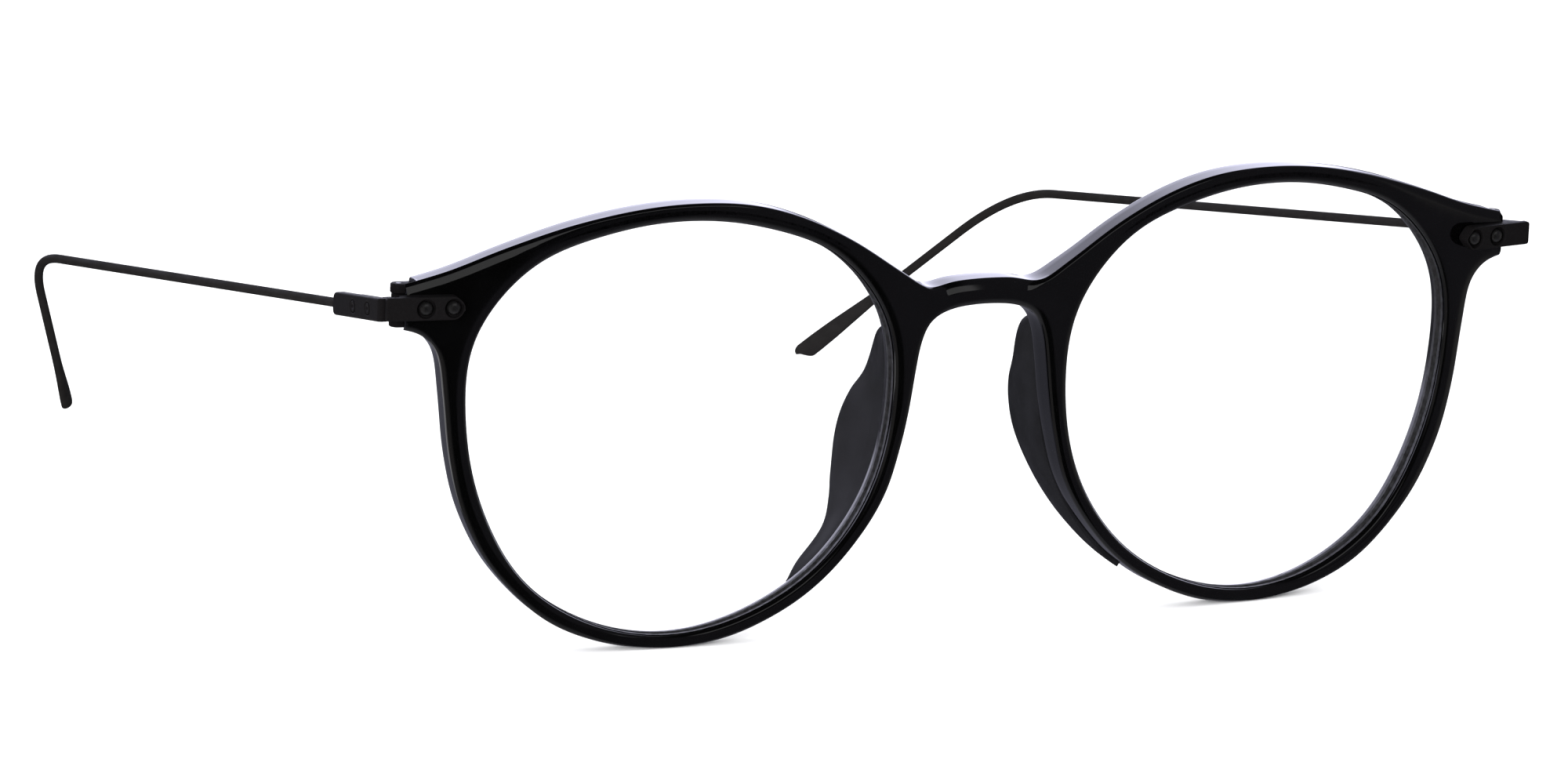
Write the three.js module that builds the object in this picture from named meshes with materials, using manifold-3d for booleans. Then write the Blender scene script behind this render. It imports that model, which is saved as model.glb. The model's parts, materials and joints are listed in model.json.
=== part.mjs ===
// Round eyeglasses: a one-piece plastic front, riveted metal end pieces and thin wire temples.
// Millimetres. +X is the wearer's left, the front faces -Y, the temples run to +Y and +Z is up.
// Everything is drawn with the front standing upright, then the whole model is tipped by
// settleOnTable so that the two rims and the two temple tips all touch z = 0.
import * as THREE from 'three';
import { mergeVertices } from 'three/addons/utils/BufferGeometryUtils.js';
import Module from 'manifold-3d';

const wasm = await Module();
wasm.setup();

// ---------------------------------------------------------------- driving dimensions

const LENS_CENTRE_X = 34.7;           // lens centre to the middle of the bridge
// Lens opening: radius every 22.5 degrees, from the temple side up and over the top.
const OPENING_RADII = [
  24.0, 25.5, 24.7, 22.5, 21.8, 22.4, 24.4, 25.3,
  24.3, 23.9, 23.5, 23.1, 23.3, 23.5, 23.8, 23.5,
];
const FACE_CURVE = 0.0012;            // front face follows y = FACE_CURVE * x * x
const RIM_DEPTH = 3.0;                // front face to back face at the rims and lugs
const BRIDGE_DEPTH = 3.7;
const EDGE_ROUND = 0.4;               // rounding of the front's outer and inner edges

const GROOVE_AT = 1.35;               // lens groove, measured back from the front face
const GROOVE_HALF_WIDTH = 0.45;
const GROOVE_DEPTH = 0.5;
const LENS_THICKNESS = 1.5;
const LENS_BULGE = 1.5;               // how far the lens centre stands in front of its edge
const FIT = 0.06;                     // clearance between pieces that touch
const TIGHT = 0.02;                   // clearance between pieces that are clamped together
const LENS_FIT = 0.1;                 // clearance between a lens and its groove

const LUG_END_X = 65.9;
const LUG_TOP_Z = 15.95;
const LUG_BOTTOM_Z = 11.05;

const BAR_SEAT = new THREE.Vector2(64, FACE_CURVE * 64 ** 2);
const BAR_YAW = Math.atan(2 * FACE_CURVE * BAR_SEAT.x);
const BAR_Z = 13.72;
const BAR_TIP = -4.4;                 // pointed nasal end, measured along the bar
const BAR_SHOULDER = -3.3;            // where the point starts
const BAR_END = 4.45;
const BAR_HEIGHT = 2.5;
const BAR_THICKNESS = 1.5;
const BAR_STEP_AT = 2.75;             // outboard of here the bar is thinned for the temple
const BAR_STEP = 0.7;
const RIVETS_AT = [-2.95, 0.1];       // nasal and outer rivet, along the bar

const RIVET_RECESS_R = 1.02;
const RIVET_RECESS_DEPTH = 0.55;
const RIVET_HEAD_R = 0.78;
const RIVET_HEAD_RIM = 0.1;           // straight part of the head, under its dome
const RIVET_DOME = 0.5;
const RIVET_SHANK_R = 0.5;
const RIVET_TAIL_R = 0.75;
const RIVET_TAIL = 0.12;

const PIVOT_ALONG = 2.15;             // hinge axis, along the bar and behind its seat
const PIVOT_BACK = 2.2;
const BLOCK_Z = [11.1, 15.75];        // hinge block, bottom and top
const SLOT_Z = [12.45, 14.72];        // slot for the knuckle
const KNUCKLE_Z = [12.52, 14.65];
const KNUCKLE_R = 0.72;
const SCREW_R = 0.4;
const SCREW_HEAD_R = 0.62;
const SCREW_HEAD = 0.32;
const BLOCK_FROM = 0.62;              // where the block starts, along the bar
const BARREL_R = 0.86;                // its round end, about the hinge axis
const LUG_SKIN = 0.44;                // plastic left in front of the block
const BACK_PLATE = 0.4;               // thickness of the block's plate, which reaches from here
const BACK_PLATE_FROM = -4.0;
const BACK_PLATE_HEIGHT = 2.9;

const TEMPLE_YAW = THREE.MathUtils.degToRad(3.7);
const TEMPLE_FALL = 0.171;            // the temple drops this much per mm of length
const ARM_FRONT = -2.5;               // arm plate and leaf, measured along the temple
const ARM_REAR = 10.65;
const LEAF_REAR = 7.6;
const ARM_HEIGHT = 2.5;
const ARM_FRONT_Z = 13.5;             // height of the arm's middle at its front end
const LEAF_X = [1.15, 1.95];          // inner leaf, outboard of the hinge axis
const PLATE_X = [2.01, 3.05];         // outer arm plate
const ARM_PINS_AT = [0.9, 5.0];
const ARM_PIN_R = 0.6;

const WIRE_R = 0.5;
const WIRE_BEND = new THREE.Vector3(61.9, 109.8, -4.5);    // corner that the ear bend rounds off
const WIRE_TIP = new THREE.Vector3(46.65, 132.3, -28.45);
const BEND_ROUND = 9;                 // length of wire on each side of the corner in the bend
const PADDLE_WIDE = 1.1;              // half widths of the flattened tip
const PADDLE_THIN = 0.5;
const PADDLE_RANGE = [2, 18];         // flattens between these distances from the end
const PADDLE_TWIST = THREE.MathUtils.degToRad(35);

// Nose pad ridge: angle round the lens, distance outside the opening, height above the rim.
const PAD_RIDGE = [
  [161, 1.5, 0.7], [165, 1.8, 4.1], [174.5, 1.3, 6.0], [180.5, 0.8, 7.9], [187, 0.5, 8.9],
  [194, 0.5, 8.8], [202, 0.7, 7.4], [208, 1.0, 5.8], [215, 1.2, 4.1], [226, 1.0, 2.9],
  [233, 0.8, 0.6],
];
const PAD_RIDGE_R = 0.6;
const PAD_BASE = [0.3, 1.75];         // pad foot on the rim, outside the opening
const PAD_FIT = 0.12;

const OPENING_STEPS = 60;
const TOP_STEPS = 36;
const BOTTOM_STEPS = 54;

// ---------------------------------------------------------------- materials

const finish = (name, color, roughness, metalness, extra = {}) =>
  new THREE.MeshStandardMaterial({ name, color, roughness, metalness, ...extra });
const blackPlastic = finish('black_plastic', 0x08080a, 0.12, 0.0);
const padPlastic = finish('pad_plastic', 0x101014, 0.35, 0.0);
const clearLens = finish('clear_lens', 0xf4f8fa, 0.03, 0.0, { transparent: true, opacity: 0.12 });
const darkMetal = finish('dark_metal', 0x2b282b, 0.45, 0.9);
const rivetMetal = finish('rivet_metal', 0x3a373a, 0.35, 0.9);
const wireMetal = finish('wire_metal', 0x2f2d2e, 0.5, 0.85);

// ---------------------------------------------------------------- solids and booleans

function toSolid(geometry) {
  const bare = geometry.clone();
  bare.deleteAttribute('normal');
  bare.deleteAttribute('uv');
  const merged = mergeVertices(bare, 1e-5);
  return new wasm.Manifold(new wasm.Mesh({
    numProp: 3,
    vertProperties: new Float32Array(merged.attributes.position.array),
    triVerts: new Uint32Array(merged.index.array),
  }));
}

function toGeometry(solid) {
  const mesh = solid.getMesh();
  const geometry = new THREE.BufferGeometry();
  geometry.setAttribute('position', new THREE.BufferAttribute(mesh.vertProperties, 3));
  geometry.setIndex(new THREE.BufferAttribute(mesh.triVerts, 1));
  return geometry;
}

function cut(geometry, tools) {
  return toGeometry(tools.reduce((solid, tool) => solid.subtract(toSolid(tool)), toSolid(geometry)));
}

function join(first, ...others) {
  return toGeometry(others.reduce((solid, other) => solid.add(toSolid(other)), toSolid(first)));
}

// Closed skin over a row of rings, each ring a list of points in the same order.
function loft(rings) {
  const count = rings[0].length;
  const positions = rings.flat().flatMap((p) => [p.x, p.y, p.z]);
  const index = [];
  for (let r = 0; r < rings.length - 1; r += 1) {
    for (let i = 0; i < count; i += 1) {
      const j = (i + 1) % count;
      const a = r * count;
      const b = a + count;
      index.push(a + i, b + i, a + j, a + j, b + i, b + j);
    }
  }
  const last = (rings.length - 1) * count;
  for (let i = 1; i < count - 1; i += 1) {
    index.push(0, i, i + 1, last, last + i + 1, last + i);
  }
  const geometry = new THREE.BufferGeometry();
  geometry.setAttribute('position', new THREE.Float32BufferAttribute(positions, 3));
  geometry.setIndex(index);
  return geometry;
}

function box(x, y, z) {
  const geometry = new THREE.BoxGeometry(x[1] - x[0], y[1] - y[0], z[1] - z[0]);
  return geometry.translate((x[0] + x[1]) / 2, (y[0] + y[1]) / 2, (z[0] + z[1]) / 2);
}

const rodZ = (r, z0, z1, x, y, sides = 24) =>
  new THREE.CylinderGeometry(r, r, z1 - z0, sides).rotateX(Math.PI / 2).translate(x, y, (z0 + z1) / 2);
const rodY = (r, y0, y1, x, z, sides = 24) =>
  new THREE.CylinderGeometry(r, r, y1 - y0, sides).translate(x, (y0 + y1) / 2, z);
const rodX = (r, x0, x1, y, z, sides = 24) =>
  new THREE.CylinderGeometry(r, r, x1 - x0, sides).rotateZ(Math.PI / 2).translate((x0 + x1) / 2, y, z);

// The same piece for the other side of the face.
function mirrored(geometry) {
  const copy = geometry.clone().scale(-1, 1, 1);
  if (!copy.index) return mirrored(mergeVertices(geometry));
  const index = copy.index.array;
  for (let i = 0; i < index.length; i += 3) [index[i], index[i + 1]] = [index[i + 1], index[i]];
  return copy;
}

// ---------------------------------------------------------------- outlines of the front

const point = (x, z) => new THREE.Vector2(x, z);

function openingOutline(side) {
  const corners = OPENING_RADII.map((radius, i) => {
    const angle = (i * 2 * Math.PI) / OPENING_RADII.length;
    return new THREE.Vector3(LENS_CENTRE_X + radius * Math.cos(angle), radius * Math.sin(angle), 0);
  });
  const curve = new THREE.CatmullRomCurve3(corners, true, 'catmullrom', 0.5);
  const outline = curve.getPoints(OPENING_STEPS).slice(0, -1).map((p) => point(side * p.x, p.y));
  return side > 0 ? outline : outline.reverse();
}

// Half of the outer outline, from the top of the bridge round the lug to the bridge underside.
function halfOutline() {
  const top = new THREE.SplineCurve([
    point(0, 13.7), point(3.6, 13.55), point(6.6, 13.05), point(10, 15.0), point(16, 18.8),
    point(22, 21.6), point(28, 23.2), point(34.5, 23.6), point(41, 23.1), point(48, 21.7),
    point(55, 19.5), point(61, 17.3), point(LUG_END_X, LUG_TOP_Z),
  ]).getPoints(TOP_STEPS);
  const bottom = new THREE.SplineCurve([
    point(LUG_END_X, LUG_BOTTOM_Z), point(64.4, 10.7), point(63.1, 9.8), point(62.0, 8.0),
    point(61.3, 3.5), point(60.4, -3), point(58.7, -9), point(55.3, -15), point(49.5, -20.6),
    point(43, -23.5), point(36, -24.5), point(29, -23.9), point(22.5, -21.4), point(17.5, -18),
    point(13.4, -13.5), point(10.7, -9), point(9.2, -4), point(8.4, 0), point(7.85, 4),
    point(7.3, 7.2), point(6.2, 9.5), point(3.6, 10.65), point(0, 10.95),
  ]).getPoints(BOTTOM_STEPS);
  return [...top, ...bottom];
}

function outerOutline() {
  const half = halfOutline();
  const otherHalf = half.slice(1, -1).map((p) => point(-p.x, p.y));
  return [...half.slice().reverse(), ...otherHalf];
}

// Moves each point of a closed outline to the right of its direction of travel.
function offset(outline, amount) {
  const count = outline.length;
  return outline.map((p, i) => {
    const before = outline[(i + count - 1) % count];
    const after = outline[(i + 1) % count];
    const a = p.clone().sub(before).normalize();
    const b = after.clone().sub(p).normalize();
    const normal = point(a.y + b.y, -a.x - b.x).normalize();
    const stretch = Math.min(1 / Math.max(normal.dot(point(a.y, -a.x)), 0.5), 1.5);
    return p.clone().addScaledVector(normal, amount * stretch);
  });
}

// ---------------------------------------------------------------- the curved front

// Point at (x, z) on the front face, moved back by t, where RIM_DEPTH reaches the back face.
function onFront(x, z, t) {
  const slope = 2 * FACE_CURVE * x;
  const length = Math.hypot(1, slope);
  const nearBridge = 1 - THREE.MathUtils.smoothstep(Math.abs(x), 5, 13);
  const depth = t * (1 + (BRIDGE_DEPTH / RIM_DEPTH - 1) * nearBridge);
  return new THREE.Vector3(x - (slope / length) * depth, FACE_CURVE * x * x + depth / length, z);
}

// Steps through the thickness: distance back, outer edge offset, lens opening offset.
function frontLayers() {
  const r = EDGE_ROUND;
  const back = RIM_DEPTH;
  return [
    [0, -r, -r], [0.3 * r, -0.3 * r, -0.3 * r], [r, 0, 0],
    [GROOVE_AT - GROOVE_HALF_WIDTH, 0, 0], [GROOVE_AT, 0, -GROOVE_DEPTH],
    [GROOVE_AT + GROOVE_HALF_WIDTH, 0, 0],
    [back - r, 0, 0], [back - 0.3 * r, -0.3 * r, -0.3 * r], [back, -r, -r],
  ];
}

function curvedFront() {
  const outer = outerOutline();
  const openings = [openingOutline(1), openingOutline(-1)].map((o) => o.reverse());
  const layers = frontLayers().map(([t, outerBy, openingBy]) => [
    offset(outer, outerBy), ...openings.map((o) => offset(o, openingBy)),
  ].map((ring) => ring.map((p) => onFront(p.x, p.y, t))));
  const positions = layers.flat(2).flatMap((p) => [p.x, p.y, p.z]);
  const perLayer = outer.length + openings.length * OPENING_STEPS;
  const index = [];
  let start = 0;
  for (const ring of [outer, ...openings]) {
    for (let k = 0; k < layers.length - 1; k += 1) {
      for (let i = 0; i < ring.length; i += 1) {
        const a = k * perLayer + start + i;
        const b = k * perLayer + start + ((i + 1) % ring.length);
        index.push(a, a + perLayer, b, b, a + perLayer, b + perLayer);
      }
    }
    start += ring.length;
  }
  const backStart = (layers.length - 1) * perLayer;
  for (const [a, b, c] of THREE.ShapeUtils.triangulateShape(outer, openings)) {
    index.push(a, b, c, backStart + a, backStart + c, backStart + b);
  }
  const geometry = new THREE.BufferGeometry();
  geometry.setAttribute('position', new THREE.Float32BufferAttribute(positions, 3));
  geometry.setIndex(index);
  return geometry;
}

// Turns a tool drawn at a seat (bar or temple frame) into the frame of the whole front.
function fromSeat(geometry, side, seat, yaw) {
  const placed = side > 0 ? geometry.clone() : mirrored(geometry);
  return placed.rotateZ(side * yaw).translate(side * seat.x, seat.y, 0);
}

function frontFrame() {
  const hingeNotch = box([BLOCK_FROM - FIT, 4], [LUG_SKIN, 6],
    [BLOCK_Z[0] - 2, BLOCK_Z[1] + 2]);
  const plateTrim = box([BACK_PLATE_FROM - 0.3, BLOCK_FROM], [RIM_DEPTH - TIGHT, RIM_DEPTH + 1.5],
    [LUG_BOTTOM_Z - 1, LUG_TOP_Z + 4]);
  const holes = RIVETS_AT.map((at) => rodY(RIVET_SHANK_R + FIT, -1, 5, at, BAR_Z));
  const tools = [1, -1].flatMap((side) =>
    [hingeNotch, plateTrim, ...holes].map((tool) => fromSeat(tool, side, BAR_SEAT, BAR_YAW)));
  return cut(curvedFront(), tools);
}

// ---------------------------------------------------------------- lenses and nose pads

function lens() {
  const outline = openingOutline(1);
  const middle = point(LENS_CENTRE_X, 0);
  const ring = (fraction, by, t) => offset(outline, by).map((p) => {
    const q = middle.clone().lerp(p, fraction);
    return onFront(q.x, q.y, t);
  });
  const edgeFront = GROOVE_AT - LENS_THICKNESS / 2;
  const bulged = (edge, fraction) => edge - LENS_BULGE * (1 - fraction * fraction);
  const fractions = [0.04, 0.45, 0.8];
  const apex = GROOVE_DEPTH - LENS_FIT;
  const shoulder = GROOVE_HALF_WIDTH - 0.8 * LENS_FIT;
  return loft([
    ...fractions.map((f) => ring(f, -LENS_FIT, bulged(edgeFront, f))),
    ring(1, -LENS_FIT, edgeFront),
    ring(1, -LENS_FIT, GROOVE_AT - shoulder),
    ring(1, apex, GROOVE_AT),
    ring(1, -LENS_FIT, GROOVE_AT + shoulder),
    ring(1, -LENS_FIT, edgeFront + LENS_THICKNESS),
    ...fractions.reverse().map((f) => ring(f, -LENS_FIT, bulged(edgeFront + LENS_THICKNESS, f))),
  ]);
}

function nosePad() {
  const outline = openingOutline(1);
  const ridge = new THREE.CatmullRomCurve3(PAD_RIDGE.map((row) => new THREE.Vector3(...row)));
  const curve = new THREE.CatmullRomCurve3(
    outline.map((p) => new THREE.Vector3(p.x, p.y, 0)), true, 'catmullrom', 0.5);
  const rim = curve.getPoints(720);
  const station = ({ x: degrees, y: out, z: height }) => {
    const angle = THREE.MathUtils.degToRad(degrees);
    const away = point(Math.cos(angle), Math.sin(angle));
    const across = (p) => Math.abs((p.x - LENS_CENTRE_X) * away.y - p.y * away.x)
      + ((p.x - LENS_CENTRE_X) * away.x + p.y * away.y < 0 ? 100 : 0);
    const edge = rim.reduce((best, p) => (across(p) < across(best) ? p : best));
    const at = (n, up) => {
      const x = edge.x + away.x * n;
      const z = edge.y + away.y * n;
      return onFront(x, z, RIM_DEPTH).add(new THREE.Vector3(0, PAD_FIT + up, 0));
    };
    const top = height - PAD_RIDGE_R;
    const round = [0, 45, 90, 135, 180].map((a) => {
      const turn = THREE.MathUtils.degToRad(a);
      return at(out - PAD_RIDGE_R * Math.cos(turn), Math.max(top, 0.05) + PAD_RIDGE_R * Math.sin(turn));
    });
    const inner = THREE.MathUtils.lerp(PAD_BASE[0], out - PAD_RIDGE_R, 0.4);
    const outer = THREE.MathUtils.lerp(PAD_BASE[1], out + PAD_RIDGE_R, 0.4) + 0.12;
    return [
      at(PAD_BASE[0], 0), at(inner, Math.max(top, 0.05) / 2), ...round,
      at(outer, Math.max(top, 0.05) / 2), at(PAD_BASE[1], 0),
    ];
  };
  return loft(ridge.getSpacedPoints(26).map(station));
}

// ---------------------------------------------------------------- end pieces and hinge

const rivetHoles = (radius, y0, y1) => RIVETS_AT.map((at) => rodY(radius, y0, y1, at, BAR_Z));

// Hexagon-pointed bar on the lug's front face, in the bar's own frame.
function endBar() {
  const half = BAR_HEIGHT / 2;
  const corner = 0.35;
  const face = new THREE.Shape([
    point(BAR_TIP, 0.15), point(BAR_TIP, -0.15), point(BAR_SHOULDER, -half),
    point(BAR_END - corner, -half), point(BAR_END, corner - half),
    point(BAR_END, half - corner), point(BAR_END - corner, half), point(BAR_SHOULDER, half),
  ]);
  const slab = new THREE.ExtrudeGeometry(face, { depth: BAR_THICKNESS, bevelEnabled: false })
    .rotateX(Math.PI / 2).translate(0, -FIT, BAR_Z);
  const step = box([BAR_STEP_AT, BAR_END + 1], [-FIT - BAR_STEP, 1], [BAR_Z - 3, BAR_Z + 3]);
  const faceY = -FIT - BAR_THICKNESS;
  return cut(slab, [
    step,
    ...rivetHoles(RIVET_RECESS_R, faceY - 1, faceY + RIVET_RECESS_DEPTH),
    ...rivetHoles(RIVET_SHANK_R + FIT, faceY, 1),
  ]);
}

// Domed rivet through bar, lug and back plate. Its axis is Y and the dome faces -Y.
function rivet(at) {
  const underHead = -FIT - BAR_THICKNESS + RIVET_RECESS_DEPTH - 2 * TIGHT;
  const backY = RIM_DEPTH + TIGHT + BACK_PLATE + TIGHT;
  const dome = [0, 18, 36, 54, 72, 90].map((a) => {
    const turn = THREE.MathUtils.degToRad(a);
    const height = RIVET_HEAD_RIM + RIVET_DOME * Math.cos(turn);
    return point(RIVET_HEAD_R * Math.sin(turn), underHead - height);
  });
  const profile = [
    ...dome, point(RIVET_HEAD_R, underHead), point(RIVET_SHANK_R, underHead),
    point(RIVET_SHANK_R, backY), point(RIVET_TAIL_R, backY),
    point(RIVET_TAIL_R - 0.1, backY + RIVET_TAIL), point(0, backY + RIVET_TAIL),
  ];
  profile[0].x = 0;
  return new THREE.LatheGeometry(profile, 24).translate(at, 0, BAR_Z);
}

// Front half of the hinge: plate on the back of the lug and a slotted barrel at its end.
function hingeBlock() {
  const plateY = [RIM_DEPTH + TIGHT, RIM_DEPTH + TIGHT + BACK_PLATE];
  const plateZ = [BAR_Z - BACK_PLATE_HEIGHT / 2, BAR_Z + BACK_PLATE_HEIGHT / 2];
  const barrelY = [PIVOT_BACK - BARREL_R, PIVOT_BACK + BARREL_R];
  const webEnd = BLOCK_FROM + BACK_PLATE;
  const plate = box([BACK_PLATE_FROM, webEnd], plateY, plateZ);
  const web = box([BLOCK_FROM, webEnd], [barrelY[0], plateY[1]], plateZ);
  const neck = box([BLOCK_FROM, PIVOT_ALONG], barrelY, BLOCK_Z);
  const barrel = rodZ(BARREL_R, BLOCK_Z[0], BLOCK_Z[1], PIVOT_ALONG, PIVOT_BACK, 32);
  const slot = box([PIVOT_ALONG - KNUCKLE_R - 0.1, 4], [0, 6], SLOT_Z);
  const headSeat = BLOCK_Z[1] - SCREW_HEAD - TIGHT;
  const head = rodZ(SCREW_HEAD_R + FIT, headSeat, 20, PIVOT_ALONG, PIVOT_BACK);
  const shank = rodZ(SCREW_R + FIT, BLOCK_Z[0] - 1, 20, PIVOT_ALONG, PIVOT_BACK);
  return cut(join(plate, web, neck, barrel), [
    slot, head, shank, ...rivetHoles(RIVET_SHANK_R + FIT, 0, 6),
  ]);
}

function hingeScrew() {
  const top = BLOCK_Z[1] - 0.04;
  const shank = rodZ(SCREW_R, BLOCK_Z[0] + 0.1, top - 0.1, PIVOT_ALONG, PIVOT_BACK);
  const head = rodZ(SCREW_HEAD_R, top - SCREW_HEAD + 0.06, top, PIVOT_ALONG, PIVOT_BACK);
  const slot = box([PIVOT_ALONG - 1, PIVOT_ALONG + 1], [PIVOT_BACK - 0.09, PIVOT_BACK + 0.09],
    [top - 0.14, top + 1]);
  return cut(join(shank, head), [slot]);
}

// ---------------------------------------------------------------- temples

const armZ = (along) => ARM_FRONT_Z - TEMPLE_FALL * (along - ARM_FRONT);

// Upright plate that follows the temple's fall, in the temple's frame with the hinge axis at 0, 0.
function armSlab(x, rear, height, rounded) {
  const half = height / 2;
  const shape = new THREE.Shape();
  shape.moveTo(ARM_FRONT, armZ(ARM_FRONT) - half);
  shape.lineTo(rear - rounded, armZ(rear - rounded) - half);
  shape.quadraticCurveTo(rear, armZ(rear) - half, rear, armZ(rear) - half + rounded);
  shape.lineTo(rear, armZ(rear) + half - rounded);
  shape.quadraticCurveTo(rear, armZ(rear) + half, rear - rounded, armZ(rear - rounded) + half);
  shape.lineTo(ARM_FRONT, armZ(ARM_FRONT) + half);
  const slab = new THREE.ExtrudeGeometry(shape, {
    depth: x[1] - x[0], bevelEnabled: false, curveSegments: 5,
  });
  return slab.rotateX(Math.PI / 2).rotateZ(Math.PI / 2).translate(x[0], 0, 0);
}

const armPinHoles = (radius) => ARM_PINS_AT.map((at) => rodX(radius, 0, 5, at, armZ(at)));

function armPlate() {
  return cut(armSlab(PLATE_X, ARM_REAR, ARM_HEIGHT, 0.8), armPinHoles(ARM_PIN_R + FIT));
}

function hingeLeaf() {
  const leaf = armSlab(LEAF_X, LEAF_REAR, ARM_HEIGHT - 0.3, 0.8);
  const tongue = box([0, LEAF_X[0] + 0.3], [-0.62, KNUCKLE_R], KNUCKLE_Z);
  const knuckle = rodZ(KNUCKLE_R, KNUCKLE_Z[0], KNUCKLE_Z[1], 0, 0, 32);
  const screwHole = rodZ(SCREW_R + FIT, 0, 30, 0, 0);
  return cut(join(leaf, tongue, knuckle), [screwHole, ...armPinHoles(ARM_PIN_R + FIT)]);
}

// Pin through leaf and plate, with a shallow dimple in its outer end.
function armPin(at) {
  const inner = LEAF_X[0] + 0.05;
  const outer = PLATE_X[1] + 0.03;
  const profile = [
    point(0, inner), point(ARM_PIN_R - 0.08, inner), point(ARM_PIN_R, inner + 0.08),
    point(ARM_PIN_R, outer - 0.08), point(ARM_PIN_R - 0.1, outer), point(0.28, outer - 0.02),
    point(0.14, outer - 0.14), point(0, outer - 0.18),
  ];
  return new THREE.LatheGeometry(profile, 24).rotateZ(-Math.PI / 2).translate(0, at, armZ(at));
}

// Centre line of the wire in the frame of the front, from the arm plate to the tip.
function wirePath() {
  const middle = (PLATE_X[0] + PLATE_X[1]) / 2;
  const pivot = hingeAxis(1);
  const start = new THREE.Vector3(middle, ARM_REAR + 0.04, armZ(ARM_REAR))
    .applyAxisAngle(new THREE.Vector3(0, 0, 1), TEMPLE_YAW)
    .add(new THREE.Vector3(pivot.x, pivot.y, 0));
  const arm = WIRE_BEND.clone().sub(start).normalize();
  const drop = WIRE_TIP.clone().sub(WIRE_BEND).normalize();
  const bendIn = WIRE_BEND.clone().addScaledVector(arm, -BEND_ROUND);
  const bendOut = WIRE_BEND.clone().addScaledVector(drop, BEND_ROUND);
  const path = new THREE.CurvePath();
  path.add(new THREE.LineCurve3(start, bendIn));
  path.add(new THREE.QuadraticBezierCurve3(bendIn, WIRE_BEND, bendOut));
  path.add(new THREE.LineCurve3(bendOut, WIRE_TIP));
  return path;
}

// Round wire that flattens into a paddle with a rounded end.
function templeWire() {
  const path = wirePath();
  const length = path.getLength();
  const straight = path.curves[0].getLength() / length;
  const bent = (path.curves[0].getLength() + path.curves[1].getLength()) / length;
  const steps = [
    ...[0, 0.25, 0.5, 0.75].map((s) => s * straight),
    ...Array.from({ length: 13 }, (_, i) => THREE.MathUtils.lerp(straight, bent, i / 12)),
    ...[0.2, 0.4, 0.6, 0.75, 0.85, 0.92, 0.96, 0.985, 1].map((s) => THREE.MathUtils.lerp(bent, 1, s)),
  ];
  const sides = 12;
  const outward = new THREE.Vector3(1, 0, 0);
  return loft(steps.map((s) => {
    const centre = path.getPointAt(s);
    const ahead = path.getTangentAt(s);
    const fromEnd = (1 - s) * length;
    const flat = 1 - THREE.MathUtils.smoothstep(fromEnd, ...PADDLE_RANGE);
    const tall = new THREE.Vector3().crossVectors(outward, ahead).normalize()
      .applyAxisAngle(ahead, -PADDLE_TWIST * flat);
    const thick = new THREE.Vector3().crossVectors(ahead, tall).normalize();
    const close = fromEnd < PADDLE_WIDE ? Math.sqrt(1 - (1 - fromEnd / PADDLE_WIDE) ** 2) : 1;
    const wide = THREE.MathUtils.lerp(WIRE_R, PADDLE_WIDE, flat) * Math.max(close, 0.3);
    const thin = THREE.MathUtils.lerp(WIRE_R, PADDLE_THIN, flat) * Math.max(close, 0.5);
    return Array.from({ length: sides }, (_, i) => {
      const turn = (i * 2 * Math.PI) / sides;
      return centre.clone()
        .addScaledVector(tall, wide * Math.cos(turn))
        .addScaledVector(thick, -thin * Math.sin(turn));
    });
  }));
}

function hingeAxis(side) {
  const x = BAR_SEAT.x + PIVOT_ALONG * Math.cos(BAR_YAW) - PIVOT_BACK * Math.sin(BAR_YAW);
  const y = BAR_SEAT.y + PIVOT_ALONG * Math.sin(BAR_YAW) + PIVOT_BACK * Math.cos(BAR_YAW);
  return new THREE.Vector3(side * x, y, 0);
}

// ---------------------------------------------------------------- assembly

function seatGroup(side, seat, yaw) {
  const group = new THREE.Group();
  group.position.set(side * seat.x, seat.y, 0);
  group.rotation.z = side * yaw;
  return group;
}

function addPiece(parent, name, geometry, material, side = 1) {
  const mesh = new THREE.Mesh(side > 0 ? geometry : mirrored(geometry), material.clone());
  mesh.name = name;
  parent.add(mesh);
}

// Tips the model so that rims and temple tips rest on z = 0 and centres its footprint.
function settleOnTable(model) {
  const lowest = (pattern) => {
    const found = new THREE.Vector3(0, 0, Infinity);
    const p = new THREE.Vector3();
    model.updateMatrixWorld(true);
    model.traverse((mesh) => {
      if (!mesh.isMesh || !pattern.test(mesh.name)) return;
      const positions = mesh.geometry.attributes.position;
      for (let i = 0; i < positions.count; i += 1) {
        p.fromBufferAttribute(positions, i).applyMatrix4(mesh.matrixWorld);
        if (p.z < found.z) found.copy(p);
      }
    });
    return found;
  };
  for (let i = 0; i < 6; i += 1) {
    const rim = lowest(/^front_frame$/);
    const tip = lowest(/^temple_wire_/);
    model.rotation.x += Math.atan2(rim.z - tip.z, tip.y - rim.y);
  }
  const bounds = new THREE.Box3().setFromObject(model, true);
  model.position.set(0, -(bounds.min.y + bounds.max.y) / 2, -bounds.min.z);
}

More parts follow.
